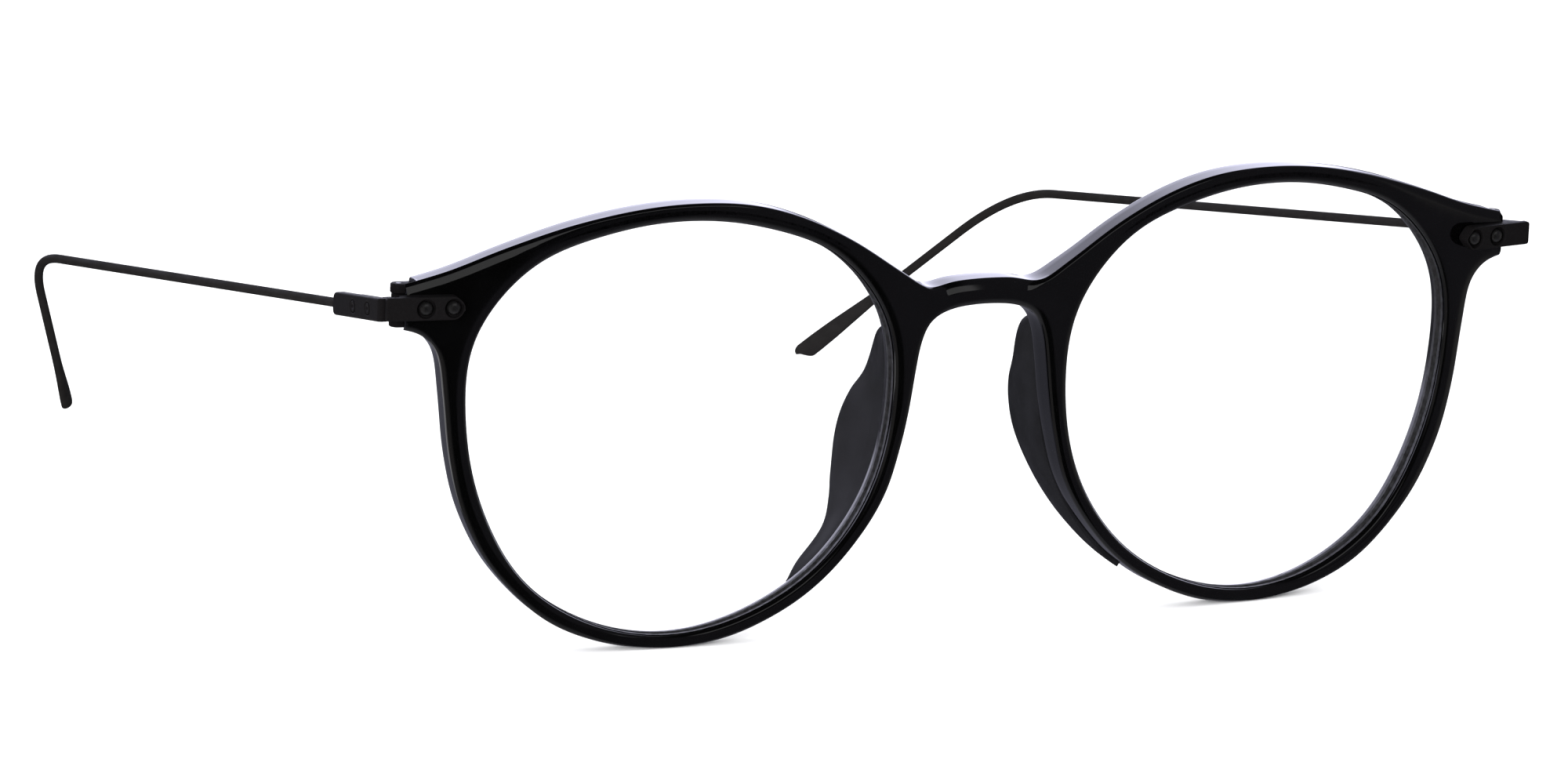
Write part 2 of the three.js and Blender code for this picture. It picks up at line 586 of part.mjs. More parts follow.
function buildGlasses() {
  const glasses = new THREE.Group();
  addPiece(glasses, 'front_frame', frontFrame(), blackPlastic);
  for (const [side, hand] of [[1, 'left'], [-1, 'right']]) {
    const bar = seatGroup(side, BAR_SEAT, BAR_YAW);
    const temple = seatGroup(side, hingeAxis(1), TEMPLE_YAW);
    glasses.add(bar, temple);
    addPiece(glasses, `lens_${hand}`, lens(), clearLens, side);
    addPiece(glasses, `nose_pad_${hand}`, nosePad(), padPlastic, side);
    addPiece(bar, `end_bar_${hand}`, endBar(), darkMetal, side);
    addPiece(bar, `nasal_rivet_${hand}`, rivet(RIVETS_AT[0]), rivetMetal, side);
    addPiece(bar, `outer_rivet_${hand}`, rivet(RIVETS_AT[1]), rivetMetal, side);
    addPiece(bar, `hinge_block_${hand}`, hingeBlock(), darkMetal, side);
    addPiece(bar, `hinge_screw_${hand}`, hingeScrew(), rivetMetal, side);
    addPiece(temple, `hinge_leaf_${hand}`, hingeLeaf(), darkMetal, side);
    addPiece(temple, `arm_plate_${hand}`, armPlate(), darkMetal, side);
    addPiece(temple, `front_arm_pin_${hand}`, armPin(ARM_PINS_AT[0]), rivetMetal, side);
    addPiece(temple, `rear_arm_pin_${hand}`, armPin(ARM_PINS_AT[1]), rivetMetal, side);
    addPiece(glasses, `temple_wire_${hand}`, templeWire(), wireMetal, side);
  }
  settleOnTable(glasses);
  return glasses;
}

export default buildGlasses();
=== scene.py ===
# Round eyeglasses: the looks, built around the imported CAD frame.
# Shapes are drawn in millimetres with the front standing upright, as in the CAD source, and
# TO_ROW carries them into the row frame, in metres, with the left hinge joint as its reference.
import json
import math

import bpy
import numpy as np
from mathutils import Matrix, Vector, geometry


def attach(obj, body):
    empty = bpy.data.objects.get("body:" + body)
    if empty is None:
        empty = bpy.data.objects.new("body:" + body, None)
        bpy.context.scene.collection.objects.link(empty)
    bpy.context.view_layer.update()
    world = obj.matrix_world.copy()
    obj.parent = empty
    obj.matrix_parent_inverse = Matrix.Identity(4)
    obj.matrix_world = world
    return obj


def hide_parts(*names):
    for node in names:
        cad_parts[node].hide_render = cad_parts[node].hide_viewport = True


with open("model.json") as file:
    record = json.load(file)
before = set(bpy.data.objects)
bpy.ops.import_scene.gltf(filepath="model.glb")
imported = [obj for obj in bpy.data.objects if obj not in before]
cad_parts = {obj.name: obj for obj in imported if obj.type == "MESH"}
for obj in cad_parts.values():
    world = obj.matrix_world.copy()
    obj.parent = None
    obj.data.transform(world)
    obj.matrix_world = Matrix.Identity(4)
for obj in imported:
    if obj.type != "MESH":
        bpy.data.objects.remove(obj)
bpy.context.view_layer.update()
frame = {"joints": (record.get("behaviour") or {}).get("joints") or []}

# ---------------------------------------------------------------- driving dimensions (mm)

LENS_CENTRE_X = 34.7
# Lens opening: radius every 22.5 degrees, from the temple side up and over the top.
OPENING_RADII = [
    24.0, 25.5, 24.7, 22.5, 21.8, 22.4, 24.4, 25.3,
    24.3, 23.9, 23.5, 23.1, 23.3, 23.5, 23.8, 23.5,
]
FACE_CURVE = 0.0012          # front face follows y = FACE_CURVE * x * x
RIM_DEPTH = 3.0
BRIDGE_DEPTH = 3.7
BRIDGE_DEPTH_RANGE = (5, 13)  # the bridge's extra depth fades out between these distances
EDGE_ROUND = 0.45            # tight rounding of the front's edges
CROWN_WIDTH = 1.15           # soft crown inside the rounding
CROWN_SLOPE = math.radians(17)
BACK_ROUND = 0.4             # rounding of the edges at the back
BACK_MARGIN = 0.25           # narrow flat strip inside it, which keeps the shading even
BROW_BEVEL = (1.35, 0.55)    # width and drop of the bevel along the upper outer edge
BEVEL_POWER = 1.25           # how fast the bevel steepens outwards
BEVEL_CRISPNESS = 0.6        # how much of the edge's rounding it takes away
BROW_BOTTOM = 12.9           # the outline is brow above this height
BROW_RANGE = (42.0, 58.0)    # the bevel fades in between these distances from the middle,
BRIDGE_RANGE = (4.5, 8.0)    # and fades out between these on top of the bridge
FACE_STEP = 0.8              # spacing of the points that fill the large faces

GROOVE_AT = 1.35
GROOVE_HALF_WIDTH = 0.45
GROOVE_DEPTH = 0.5
GROOVE_FLOOR = 0.05          # half the width of the groove's floor
LENS_THICKNESS = 1.5
LENS_BULGE = 1.5
LENS_GAP = 0.1               # between the lens's edge and the opening
LENS_SHOULDER_GAP = 0.08
FIT = 0.06                   # gap between pieces that lie together
TIGHT = 0.02                 # gap between pieces that are pressed together

LUG_END_X = 65.9
LUG_TOP_Z = 15.95
LUG_BOTTOM_Z = 11.05
LUG_END_EASE = 0.14          # the lug ends are cut square, with only a slight rounding

BAR_X = 64.0
BAR_Z = 13.72
BAR_TIP = -4.4
BAR_SHOULDER = -3.3
BAR_END = 4.45
BAR_HEIGHT = 2.5
BAR_THICKNESS = 1.5
BAR_STEP_AT = 2.75
BAR_STEP = 0.7
BAR_STEP_EASE = 0.08
BAR_STEP_FROM = 0.3          # the step leaves this much of the front of the bar alone
BAR_EDGE = 0.14
RIVETS_AT = (-2.95, 0.1)
RIVET_RECESS_R = 1.02
RIVET_RECESS_DEPTH = 0.55
RIVET_HEAD_R = 0.78
RIVET_RIM = 0.12             # height of the head's rim
RIVET_DOME = 0.5             # height of the dome on it
RIVET_SHANK_R = 0.5
RIVET_TAIL_R = 0.75
RIVET_TAIL = 0.12
BACK_PLATE = 0.4             # thickness of the hinge plate
BACK_PLATE_FROM = -4.0
BACK_PLATE_HEIGHT = 2.9

BLOCK_FROM = 0.62
BARREL_R = 0.86
LUG_SKIN = 0.44
BLOCK_Z = (11.1, 15.75)
SLOT_Z = (12.45, 14.72)
SLOT_ROOM = 0.1              # between the slot's floor and the knuckle
WEB = 0.4                    # thickness of the web between plate and barrel
WEB_HEIGHT = 2.8
KNUCKLE_Z = (12.52, 14.65)
KNUCKLE_R = 0.72
PIVOT_ALONG = 2.15
PIVOT_BACK = 2.2
PIVOT_Z = 13.5               # height on the hinge axis that the record's joint position names
SCREW_HEAD_R = 0.62
SCREW_R = 0.4
SCREW_HEAD = 0.26            # thickness of the screw's head
SCREW_SUNK = (0.1, 0.04)     # how far inside the block its bottom and its head's rim lie
SOFT_BEVEL = 0.16
FINE_BEVEL = 0.08
CRISP_BEVEL = 0.02

TEMPLE_YAW = math.radians(3.7)
TEMPLE_FALL = 0.171
ARM_FRONT = -2.5
ARM_REAR = 10.65
LEAF_REAR = 7.6
ARM_HEIGHT = 2.5
ARM_FRONT_Z = 13.5
LEAF_X = (1.15, 1.95)
PLATE_X = (2.01, 3.05)
ARM_PINS_AT = (0.9, 5.0)
ARM_FRONT_ROUND = 0.6        # rounding of the arm plate's outer front edge,
ARM_FRONT_SHARE = 0.8        # and how much of it is taken
ARM_EDGE = 0.16
ARM_CORNER = 0.85
LEAF_CORNER = 0.8
LEAF_HEIGHT = 2.2
TONGUE_FROM = -0.62          # the leaf's tongue starts this far ahead of the hinge axis,
TONGUE_SHORT = 0.5           # and ends this far below the knuckle's top
ARM_PIN_R = 0.6
PIN_RECESS = (0.12, 0.16)    # room round the pin's head, and depth
PIN_PROUD = 0.03
PIN_ROUND = 0.12
PIN_DIMPLE = [(0, 0.15), (0.12, 0.13), (0.24, 0.05), (0.32, 0.01)]    # (radius, depth)

WIRE_R = 0.5
WIRE_GAP = 0.04              # between the arm plate's end and the wire
WIRE_BEND = (61.9, 109.8, -4.5)
WIRE_TIP = (46.65, 132.3, -28.45)
BEND_ROUND = 9.0
PADDLE_WIDE = 1.06
PADDLE_THIN = 0.5
PADDLE_RANGE = (2.0, 18.0)    # flattens between these distances from the end
PADDLE_TWIST = math.radians(35)
PADDLE_SLANT = 1.2           # the end is cut off at a slant by this much,
PADDLE_SLANT_FROM = 4.0      # starting this far from it
PADDLE_END = 3.0             # length of the rounded end
PADDLE_BLUNT = (0.3, 0.15)   # width and thickness left at the very end, as shares

# Nose pad ridge: angle round the lens, distance outside the opening, height above the rim.
PAD_RIDGE = [
    (161, 1.5, 0.7), (165, 1.8, 4.1), (174.5, 1.3, 6.0), (180.5, 0.8, 7.9), (187, 0.5, 8.9),
    (194, 0.5, 8.8), (202, 0.7, 7.4), (208, 1.0, 5.8), (215, 1.2, 4.1), (226, 1.0, 2.9),
    (233, 0.8, 0.6),
]
PAD_RIDGE_R = 0.6
PAD_BASE = (0.3, 1.75)
PAD_FIT = 0.12
PAD_SWELL = 0.25             # how far the pad's outer side bulges

SIDES = ((1, "left"), (-1, "right"))    # +X is the wearer's left

# Brightness of the surroundings, as reflections see them.
DARK = (0.015, 0.015, 0.015)
DIM_ROOM = (0.115, 0.11, 0.13)
ROOM_SIDES = (0.28, 0.27, 0.27)
BACKDROP = (2.3, 2.3, 2.85)
BEHIND_TABLE = (0.2, 0.2, 0.25)
UNDERNEATH = (0.4, 0.4, 0.43)
SOFT_FILL = (1.6, 1.6, 1.6)
# Where one of them gives way to the next, by the x, y or z of the direction looked in.
DIM_ROOM_X = (0.15, 0.35)
RIGHT_SIDE_X = (0.7, 0.9)
LEFT_SIDE_X = (-0.2, -0.45)
DIM_OVERHEAD_X = (0.3, 0.45)
OVERHEAD_Z = (0.1, 0.3)
TABLE_EDGE_Z = (-0.1, 0.08)
BACKDROP_TOP_Z = (0.5, 0.7)
BACKDROP_Y = (0.05, 0.4)
UNDERNEATH_Z = (-0.55, -0.8)

FLOOR_RADIUS = 3.0           # metres, as are the drop and the lights' sizes and places
FLOOR_DROP = 0.00002         # keeps the floor clear of the rims that stand on it


# ---------------------------------------------------------------- curves

def smoothstep(value, low, high):
    t = np.clip((np.asarray(value, float) - low) / (high - low), 0, 1)
    return t * t * (3 - 2 * t)


def catmull(points, per_span, closed=False):
    """Uniform Catmull-Rom curve through points, per_span samples to a span."""
    p = np.asarray(points, float)
    count = len(p)
    spans = count if closed else count - 1
    out = []
    for i in range(spans):
        ids = [i - 1, i, i + 1, i + 2]
        ids = [k % count for k in ids] if closed else [min(max(k, 0), count - 1) for k in ids]
        a, b, c, d = p[ids]
        t = (np.arange(per_span) / per_span)[:, None]
        out.append(0.5 * (2 * b + (c - a) * t + (2 * a - 5 * b + 4 * c - d) * t**2
                          + (3 * b - a - 3 * c + d) * t**3))
    out = np.vstack(out)
    return out if closed else np.vstack([out, p[-1:]])


def even(points, count, closed=False):
    """The same line with count points spaced evenly along it."""
    p = np.vstack([points, points[:1]]) if closed else np.asarray(points)
    along = np.concatenate([[0], np.cumsum(np.linalg.norm(np.diff(p, axis=0), axis=1))])
    at = np.linspace(0, along[-1], count + 1)[:-1] if closed else np.linspace(0, along[-1], count)
    return np.stack([np.interp(at, along, p[:, k]) for k in range(p.shape[1])], axis=1)


def relax(points, rounds, closed=False):
    """Evens out small waves in a line; an open line keeps its ends."""
    p = points.copy()
    for _ in range(rounds):
        if closed:
            p = 0.5 * p + 0.25 * (np.roll(p, 1, 0) + np.roll(p, -1, 0))
        else:
            p[1:-1] = 0.5 * p[1:-1] + 0.25 * (p[:-2] + p[2:])
    return p


def inset(loop, amount):
    """Moves a counter-clockwise loop inwards, or a clockwise one outwards, by amount."""
    before = loop - np.roll(loop, 1, 0)
    after = np.roll(loop, -1, 0) - loop
    before /= np.linalg.norm(before, axis=1)[:, None]
    after /= np.linalg.norm(after, axis=1)[:, None]
    normal = np.stack([-(before + after)[:, 1], (before + after)[:, 0]], axis=1)
    normal /= np.linalg.norm(normal, axis=1)[:, None]
    cosine = np.sum(normal * np.stack([-before[:, 1], before[:, 0]], axis=1), axis=1)
    return loop + normal * (np.broadcast_to(amount, len(loop)) / np.maximum(cosine, 0.66))[:, None]


def quarter(radius, steps):
    """(inset, depth) pairs round a quarter circle, from the face to the wall."""
    turn = np.linspace(0, math.pi / 2, steps)
    return [(radius * (1 - math.sin(a)), radius * (1 - math.cos(a))) for a in turn]


# ---------------------------------------------------------------- meshes

class Build:
    """Collects points and faces, in millimetres."""

    def __init__(self):
        self.points = []
        self.faces = []
        self.slots = []

    def add(self, points):
        start = len(self.points)
        self.points.extend(np.asarray(points, float).tolist())
        return list(range(start, start + len(points)))

    def strip(self, a, b, slot=0):
        for i in range(len(a)):
            j = (i + 1) % len(a)
            self.face([a[i], a[j], b[j], b[i]], slot)

    def face(self, ids, slot=0):
        self.faces.append(ids)
        self.slots.append(slot)

    def fan(self, ids, flip=False):
        self.face(list(reversed(ids)) if flip else list(ids))

    def loft(self, loops, lift):
        """Adds loops, each a pair (flat points, distance back), and joins each to the one before
        it. Returns the first and the last as pairs (ids, flat points), as fill takes them."""
        made = [(self.add(lift(flat, back)), flat) for flat, back in loops]
        for (before, _), (after, _) in zip(made, made[1:]):
            self.strip(after, before)
        return made[0], made[-1]

    def fill(self, loops, lift, step, flip=False):
        """Fills the region inside the first loop and outside the others with even triangles.
        Each loop is a pair (ids, flat points), and lift turns flat points into space."""
        flat = [points for _, points in loops]
        edge_points = np.vstack(flat)
        edges, start = [], 0
        for loop in flat:
            n = len(loop)
            edges += [(start + i, start + (i + 1) % n) for i in range(n)]
            start += n
        low, high = flat[0].min(0), flat[0].max(0)
        gx, gz = np.meshgrid(np.arange(low[0] + step / 2, high[0], step),
                             np.arange(low[1] + step / 2, high[1], step))
        gx[::2] += step / 2
        inner = np.stack([gx.ravel(), gz.ravel()], axis=1)
        inner = inner[inside(inner, flat)]
        inner = inner[clearance(inner, edge_points) > 0.45 * step]
        every = [Vector(p) for p in np.vstack([edge_points, inner])]
        made = geometry.delaunay_2d_cdt(every, edges, [], 0, 1e-7)
        xy = np.array([tuple(v) for v in made[0]])
        triangles = np.array(made[2])
        triangles = triangles[inside(xy[triangles].mean(1), flat)]
        known = sum((ids for ids, _ in loops), []) + self.add(lift(inner))
        added = [i for i, origin in enumerate(made[3]) if not origin]
        extra = dict(zip(added, self.add(lift(xy[added])) if added else []))
        ids = [extra[i] if i in extra else known[origin[0]] for i, origin in enumerate(made[3])]
        for corners in triangles:
            face = [ids[k] for k in corners]
            self.face(face[::-1] if flip else face)


def inside(points, loops):
    """True for each point inside loops[0] and outside the other loops."""
    result = np.zeros(len(points), bool)
    for loop in loops:
        a, b = loop, np.roll(loop, -1, 0)
        crossed = np.zeros(len(points), int)
        for (ax, az), (bx, bz) in zip(a, b):
            if az == bz:
                continue
            hit = (az > points[:, 1]) != (bz > points[:, 1])
            x = ax + (points[:, 1] - az) / (bz - az) * (bx - ax)
            crossed += hit & (points[:, 0] < x)
        result ^= crossed % 2 == 1
    return result


def clearance(points, edge_points):
    """Distance from each point to the nearest edge point."""
    if not len(points):
        return np.zeros(0)
    return np.array([np.sqrt(((edge_points - p) ** 2).sum(1).min()) for p in points])


def front_point(flat, back):
    """Points at (x, z), back behind the front face; RIM_DEPTH reaches the back face."""
    x, z = flat[:, 0], flat[:, 1]
    slope = 2 * FACE_CURVE * x
    length = np.hypot(1, slope)
    deeper = (BRIDGE_DEPTH / RIM_DEPTH - 1) * (1 - smoothstep(np.abs(x), *BRIDGE_DEPTH_RANGE))
    depth = back * (1 + deeper)
    return np.stack([x - slope / length * depth, FACE_CURVE * x * x + depth / length, z], axis=1)


fold = next(j for j in frame["joints"] if j["name"] == "temple_left_fold")
tilt = math.atan2(-fold["axis"][1], fold["axis"][2])
bar_yaw = math.atan(2 * FACE_CURVE * BAR_X)
bar_seat = Vector((BAR_X, FACE_CURVE * BAR_X**2, 0))
pivot = bar_seat + Matrix.Rotation(bar_yaw, 3, "Z") @ Vector((PIVOT_ALONG, PIVOT_BACK, 0))
turn_and_shrink = Matrix.Rotation(tilt, 4, "X") @ Matrix.Scale(0.001, 4)
named = turn_and_shrink @ Vector((pivot.x, pivot.y, PIVOT_Z))
TO_ROW = Matrix.Translation(Vector(fold["pos_m"]) - named) @ turn_and_shrink


def seat(origin, yaw):
    return Matrix.Translation(origin) @ Matrix.Rotation(yaw, 4, "Z")


BAR_FRAME = seat(bar_seat, bar_yaw)
TEMPLE_FRAME = seat(pivot, TEMPLE_YAW)


def piece(name, body, build, materials, side=1, local=None, sharp=40):
    """A finished mesh object that stands for the CAD node of the same name."""
    points = np.array(build.points)
    if local is not None:
        m = np.array(local)
        points = points @ m[:3, :3].T + m[:3, 3]
    points = points * np.array([side, 1, 1])
    m = np.array(TO_ROW)
    points = points @ m[:3, :3].T + m[:3, 3]
    faces = build.faces if side > 0 else [f[::-1] for f in build.faces]
    mesh = bpy.data.meshes.new(name)
    mesh.from_pydata(points.tolist(), [], faces)
    mesh.validate()
    mesh.polygons.foreach_set("use_smooth", [True] * len(mesh.polygons))
    mesh.set_sharp_from_angle(angle=math.radians(sharp))
    for material in materials:
        mesh.materials.append(material)
    if len(materials) > 1:
        mesh.polygons.foreach_set("material_index", build.slots)
    obj = bpy.data.objects.new(f"{name}_look", mesh)
    bpy.context.scene.collection.objects.link(obj)
    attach(obj, body)
    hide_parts(name)
    return obj


# ---------------------------------------------------------------- outlines

def opening_outline():
    turn = np.arange(16) * 2 * math.pi / 16
    radii = np.array(OPENING_RADII)
    corners = np.stack([LENS_CENTRE_X + radii * np.cos(turn), radii * np.sin(turn)], axis=1)
    return relax(even(catmull(corners, 40, closed=True), 440, closed=True), 60, closed=True)


def brow_line():
    return catmull([
        (0, 13.7), (3.6, 13.55), (6.6, 13.05), (10, 15.0), (16, 18.8), (22, 21.6), (28, 23.2),
        (34.5, 23.6), (41, 23.1), (48, 21.7), (55, 19.5), (61, 17.3), (LUG_END_X, LUG_TOP_Z),
    ], 30)


def lower_line():
    return catmull([
        (LUG_END_X, LUG_BOTTOM_Z), (64.4, 10.7), (63.1, 9.8), (62.0, 8.0), (61.3, 3.5),
        (60.4, -3), (58.7, -9), (55.3, -15), (49.5, -20.6), (43, -23.5), (36, -24.5),
        (29, -23.9), (22.5, -21.4), (17.5, -18), (13.4, -13.5), (10.7, -9), (9.2, -4),
        (8.4, 0), (7.85, 4), (7.3, 7.2), (6.2, 9.5), (3.6, 10.65), (0, 10.95),
    ], 20)


def outer_outline():
    """Counter-clockwise loop: up over the left eye's brow last, starting at the bridge's top."""
    mirror = np.array([-1, 1])
    brow = brow_line()
    brow = relax(even(np.vstack([(brow * mirror)[::-1], brow[1:]]), 561), 20)
    lower = lower_line()
    lower = relax(even(np.vstack([lower, (lower * mirror)[::-1][1:]]), 881), 20)
    lug = np.linspace(brow[-1], lower[0], 16)[1:-1]
    clockwise = np.vstack([brow, lug, lower, (lug * mirror)[::-1]])
    return np.roll(clockwise[::-1], len(brow) // 2, axis=0)


def inset_outer(loop, amount):
    """Inset of the outer outline that leaves the straight ends of the lugs nearly in place."""
    flat = inset(loop, amount)
    for side in (1, -1):
        end = np.flatnonzero(loop[:, 0] * side > LUG_END_X - 1e-6)
        limit = side * (LUG_END_X - LUG_END_EASE * amount)
        corners = []
        for inner, further in ((end[0] - 1, end[0] - 2), (end[-1] + 1, end[-1] + 2)):
            step = flat[inner] - flat[further]
            corners.append(flat[inner] + step * (limit - flat[inner][0]) / step[0])
        flat[end] = np.linspace(corners[0], corners[1], len(end))
    return flat


# ---------------------------------------------------------------- the front

def front_edge():
    """(inset, drop by crown, drop by rounding) from the flat of the face out to the wall."""
    start = EDGE_ROUND * (1 - math.sin(CROWN_SLOPE))
    run = CROWN_WIDTH - start
    drop = run * math.tan(CROWN_SLOPE) / 2
    crown = [(start + run * t, drop * (1 - t) ** 2, 0.0) for t in (1, 0.75, 0.5, 0.25, 0)]
    turn = np.linspace(CROWN_SLOPE, math.pi / 2, 8)[1:]
    rounding = [(EDGE_ROUND * (1 - math.sin(a)), drop,
                 EDGE_ROUND * (math.cos(CROWN_SLOPE) - math.cos(a))) for a in turn]
    return crown + rounding


def back_edge():
    """(inset, distance back) from the wall, round the back edge, to just inside it."""
    rounding = [(i, RIM_DEPTH - b) for i, b in quarter(BACK_ROUND, 6)[::-1]]
    return rounding + [(BACK_ROUND + BACK_MARGIN, RIM_DEPTH)]


def edge_strengths(loop):
    """For each point of the outer loop, how full its soft crown and its flat bevel are."""
    x, z = np.abs(loop[:, 0]), loop[:, 1]
    on_end = (x > LUG_END_X - 0.01) & (z > LUG_BOTTOM_Z + 0.01) & (z < LUG_TOP_Z - 0.01)
    on_brow = (z > BROW_BOTTOM) & ~on_end
    bevel = np.maximum(smoothstep(x, *BROW_RANGE), 1 - smoothstep(x, *BRIDGE_RANGE)) * on_brow
    return 1.0 * ~(on_brow | on_end), bevel


def edge_drop(strengths, depth_in, crown, rounding):
    """How far back the outer edge lies, depth_in inside the outline."""
    crowned, bevelled_off = strengths
    width, drop = BROW_BEVEL
    outward_share = np.maximum(0, 1 - depth_in / (width * np.maximum(bevelled_off, 0.01)))
    slope = drop * outward_share**BEVEL_POWER
    return crowned * crown + bevelled_off * slope + rounding * (1 - BEVEL_CRISPNESS * bevelled_off)


def notched(flat, back):
    """Pulls the ends of the lugs in, behind their front skin, to make room for the block."""
    limit = BAR_X + (BLOCK_FROM - FIT) * math.cos(bar_yaw) + back * math.sin(bar_yaw) / 2
    x = np.sign(flat[:, 0]) * np.minimum(np.abs(flat[:, 0]), limit)
    return np.stack([x, flat[:, 1]], axis=1)


def front_mesh():
    build = Build()
    outer = outer_outline()
    strengths = edge_strengths(outer)
    loops = [(inset_outer(outer, depth_in), edge_drop(strengths, depth_in, crown, rounding))
             for depth_in, crown, rounding in front_edge()]
    rim_edge = edge_drop(strengths, 0, *front_edge()[-1][1:])
    loops.append((outer, np.maximum(rim_edge, LUG_SKIN)))
    for depth_in, back in [(0.0, RIM_DEPTH * 0.3), (0.0, RIM_DEPTH * 0.6)] + back_edge():
        flat = inset_outer(outer, depth_in) if depth_in else outer
        loops.append((notched(flat, back), back))
    first, last = build.loft(loops, front_point)
    front_loops, back_loops = [first], [last]
    for side in (1, -1):
        opening = opening_outline() * np.array([side, 1])
        opening = opening[::-1] if side > 0 else opening
        loops = [(inset(opening, depth_in), back) for depth_in, back in opening_profile()]
        first, last = build.loft(loops, front_point)
        front_loops.append(first)
        back_loops.append(last)
    build.fill(front_loops, lambda p: front_point(p, 0.0), FACE_STEP)
    build.fill(back_loops, lambda p: front_point(p, RIM_DEPTH), FACE_STEP, flip=True)
    return outward(build)


def opening_profile():
    """(outset from the opening, distance back) from the front face, over the groove, to the back."""
    front = [(i, crown + rounding) for i, crown, rounding in front_edge()]
    groove = [
        (0.0, GROOVE_AT - GROOVE_HALF_WIDTH), (GROOVE_DEPTH, GROOVE_AT - GROOVE_FLOOR),
        (GROOVE_DEPTH, GROOVE_AT + GROOVE_FLOOR), (0.0, GROOVE_AT + GROOVE_HALF_WIDTH),
    ]
    return front + groove + back_edge()


# ---------------------------------------------------------------- lens and nose pad

def lens_mesh():
    build = Build()
    outline = opening_outline()
    middle = np.array([LENS_CENTRE_X, 0])
    edge_front = GROOVE_AT - LENS_THICKNESS / 2
    edge_back = edge_front + LENS_THICKNESS
    fractions = np.linspace(0.05, 1, 20)

    def ring(fraction, by, back):
        flat = inset(outline, -by)
        return build.add(front_point(middle + (flat - middle) * fraction, back))

    rings = [(f, -LENS_GAP, edge_front - LENS_BULGE * (1 - f * f), 0) for f in fractions]
    shoulder = GROOVE_HALF_WIDTH - LENS_SHOULDER_GAP
    rings += [
        (1, -LENS_GAP, GROOVE_AT - shoulder, 1), (1, GROOVE_DEPTH - LENS_GAP, GROOVE_AT, 1),
        (1, -LENS_GAP, GROOVE_AT + shoulder, 1), (1, -LENS_GAP, edge_back, 1),
    ]
    rings += [(f, -LENS_GAP, edge_back - LENS_BULGE * (1 - f * f), 0) for f in fractions[::-1][1:]]
    previous = first = None
    for fraction, by, back, slot in rings:
        ids = ring(fraction, by, back)
        if previous is None:
            first = ids
        else:
            build.strip(previous, ids, slot)
        previous = ids
    build.fan(first, flip=True)
    build.fan(previous)
    return outward(build)


def nose_pad_mesh():
    build = Build()
    outline = opening_outline()
    angle = np.degrees(np.arctan2(outline[:, 1], outline[:, 0] - LENS_CENTRE_X)) % 360
    order = np.argsort(angle)
    ridge = even(catmull(PAD_RIDGE, 30), 90)
    rings = []
    for degrees, out, height in ridge:
        radians = math.radians(degrees)
        away = np.array([math.cos(radians), math.sin(radians)])
        edge = np.array([np.interp(degrees, angle[order], outline[order, k]) for k in (0, 1)])
        top = max(height - PAD_RIDGE_R, 0.05)
        profile = pad_section(out, top)
        flat = edge + profile[:, :1] * away
        points = front_point(flat, RIM_DEPTH)
        points[:, 1] += PAD_FIT + profile[:, 1]
        rings.append(build.add(points))
    for a, b in zip(rings, rings[1:]):
        build.strip(a, b)
    build.fan(rings[0], flip=True)
    build.fan(rings[-1])
    return outward(build)


def pad_section(out, top):
    """Cross-section of the pad: (distance outside the opening, height above the rim)."""
    inner_foot, outer_foot = PAD_BASE
    rise = np.linspace(0, 1, 9)[:-1]
    ease = rise * rise * (3 - 2 * rise)
    inner = np.stack([inner_foot + (out - PAD_RIDGE_R - inner_foot) * ease, top * rise], axis=1)
    turn = np.linspace(0, math.pi, 13)
    cap = np.stack([out - PAD_RIDGE_R * np.cos(turn), top + PAD_RIDGE_R * np.sin(turn)], axis=1)
    outer_side = out + PAD_RIDGE_R + (outer_foot - out - PAD_RIDGE_R) * (1 - ease)
    swell = PAD_SWELL * np.sin(math.pi * rise)
    outer = np.stack([outer_side + swell, top * rise], axis=1)[::-1]
    return np.vstack([inner, cap, outer])


# ---------------------------------------------------------------- metal pieces

def rounded_polygon(corners, radii):
    """Polygon with each corner replaced by an arc-like curve; radii go with the corners."""
    p = np.asarray(corners, float)
    out = []
    for i, radius in enumerate(radii):
        a, b, c = p[i - 1], p[i], p[(i + 1) % len(p)]
        start = b + (a - b) / np.linalg.norm(a - b) * radius
        end = b + (c - b) / np.linalg.norm(c - b) * radius
        t = np.linspace(0, 1, 6)[:, None]
        out.append((1 - t) ** 2 * start + 2 * t * (1 - t) * b + t**2 * end)
    return np.vstack(out)


def densify(loop, step):
    """Adds points to a loop's long straight runs."""
    out = []
    for a, b in zip(loop, np.roll(loop, -1, 0)):
        count = max(1, int(np.linalg.norm(b - a) / step))
        out += [a + (b - a) * k / count for k in range(count)]
    return np.array(out)


def circle(centre, radius):
    turn = np.arange(48) * 2 * math.pi / 48
    return np.stack([centre[0] + radius * np.cos(turn), centre[1] + radius * np.sin(turn)], axis=1)


def slab(build, loop, low, high, edge, lift, holes, step):
    """Solid plate over a counter-clockwise loop, from depth low (face) to high (back), with
    rounded edges. holes holds (clockwise loop, floor depth) of blind recesses in the face."""
    side = [(inset(loop, i), low + b) for i, b in quarter(edge, 5)]
    side += [(inset(loop, i), high - b) for i, b in quarter(edge, 5)[::-1]]
    face, back = build.loft(side, lift)
    face_loops = [face]
    for hole, floor in holes:
        wall = [(inset(hole, i), low + b) for i, b in quarter(edge * 0.7, 5)] + [(hole, floor)]
        mouth, bottom = build.loft(wall, lift)
        face_loops.append(mouth)
        build.fan(bottom[0], flip=True)
    build.fill(face_loops, lambda p: lift(p, low), step)
    build.fill([back], lambda p: lift(p, high), step, flip=True)


def facing_front(flat, back):
    """A plate whose face looks to -Y: (along, height) to space, back to +Y."""
    return np.stack([flat[:, 0], np.full(len(flat), float(back)), flat[:, 1]], axis=1)


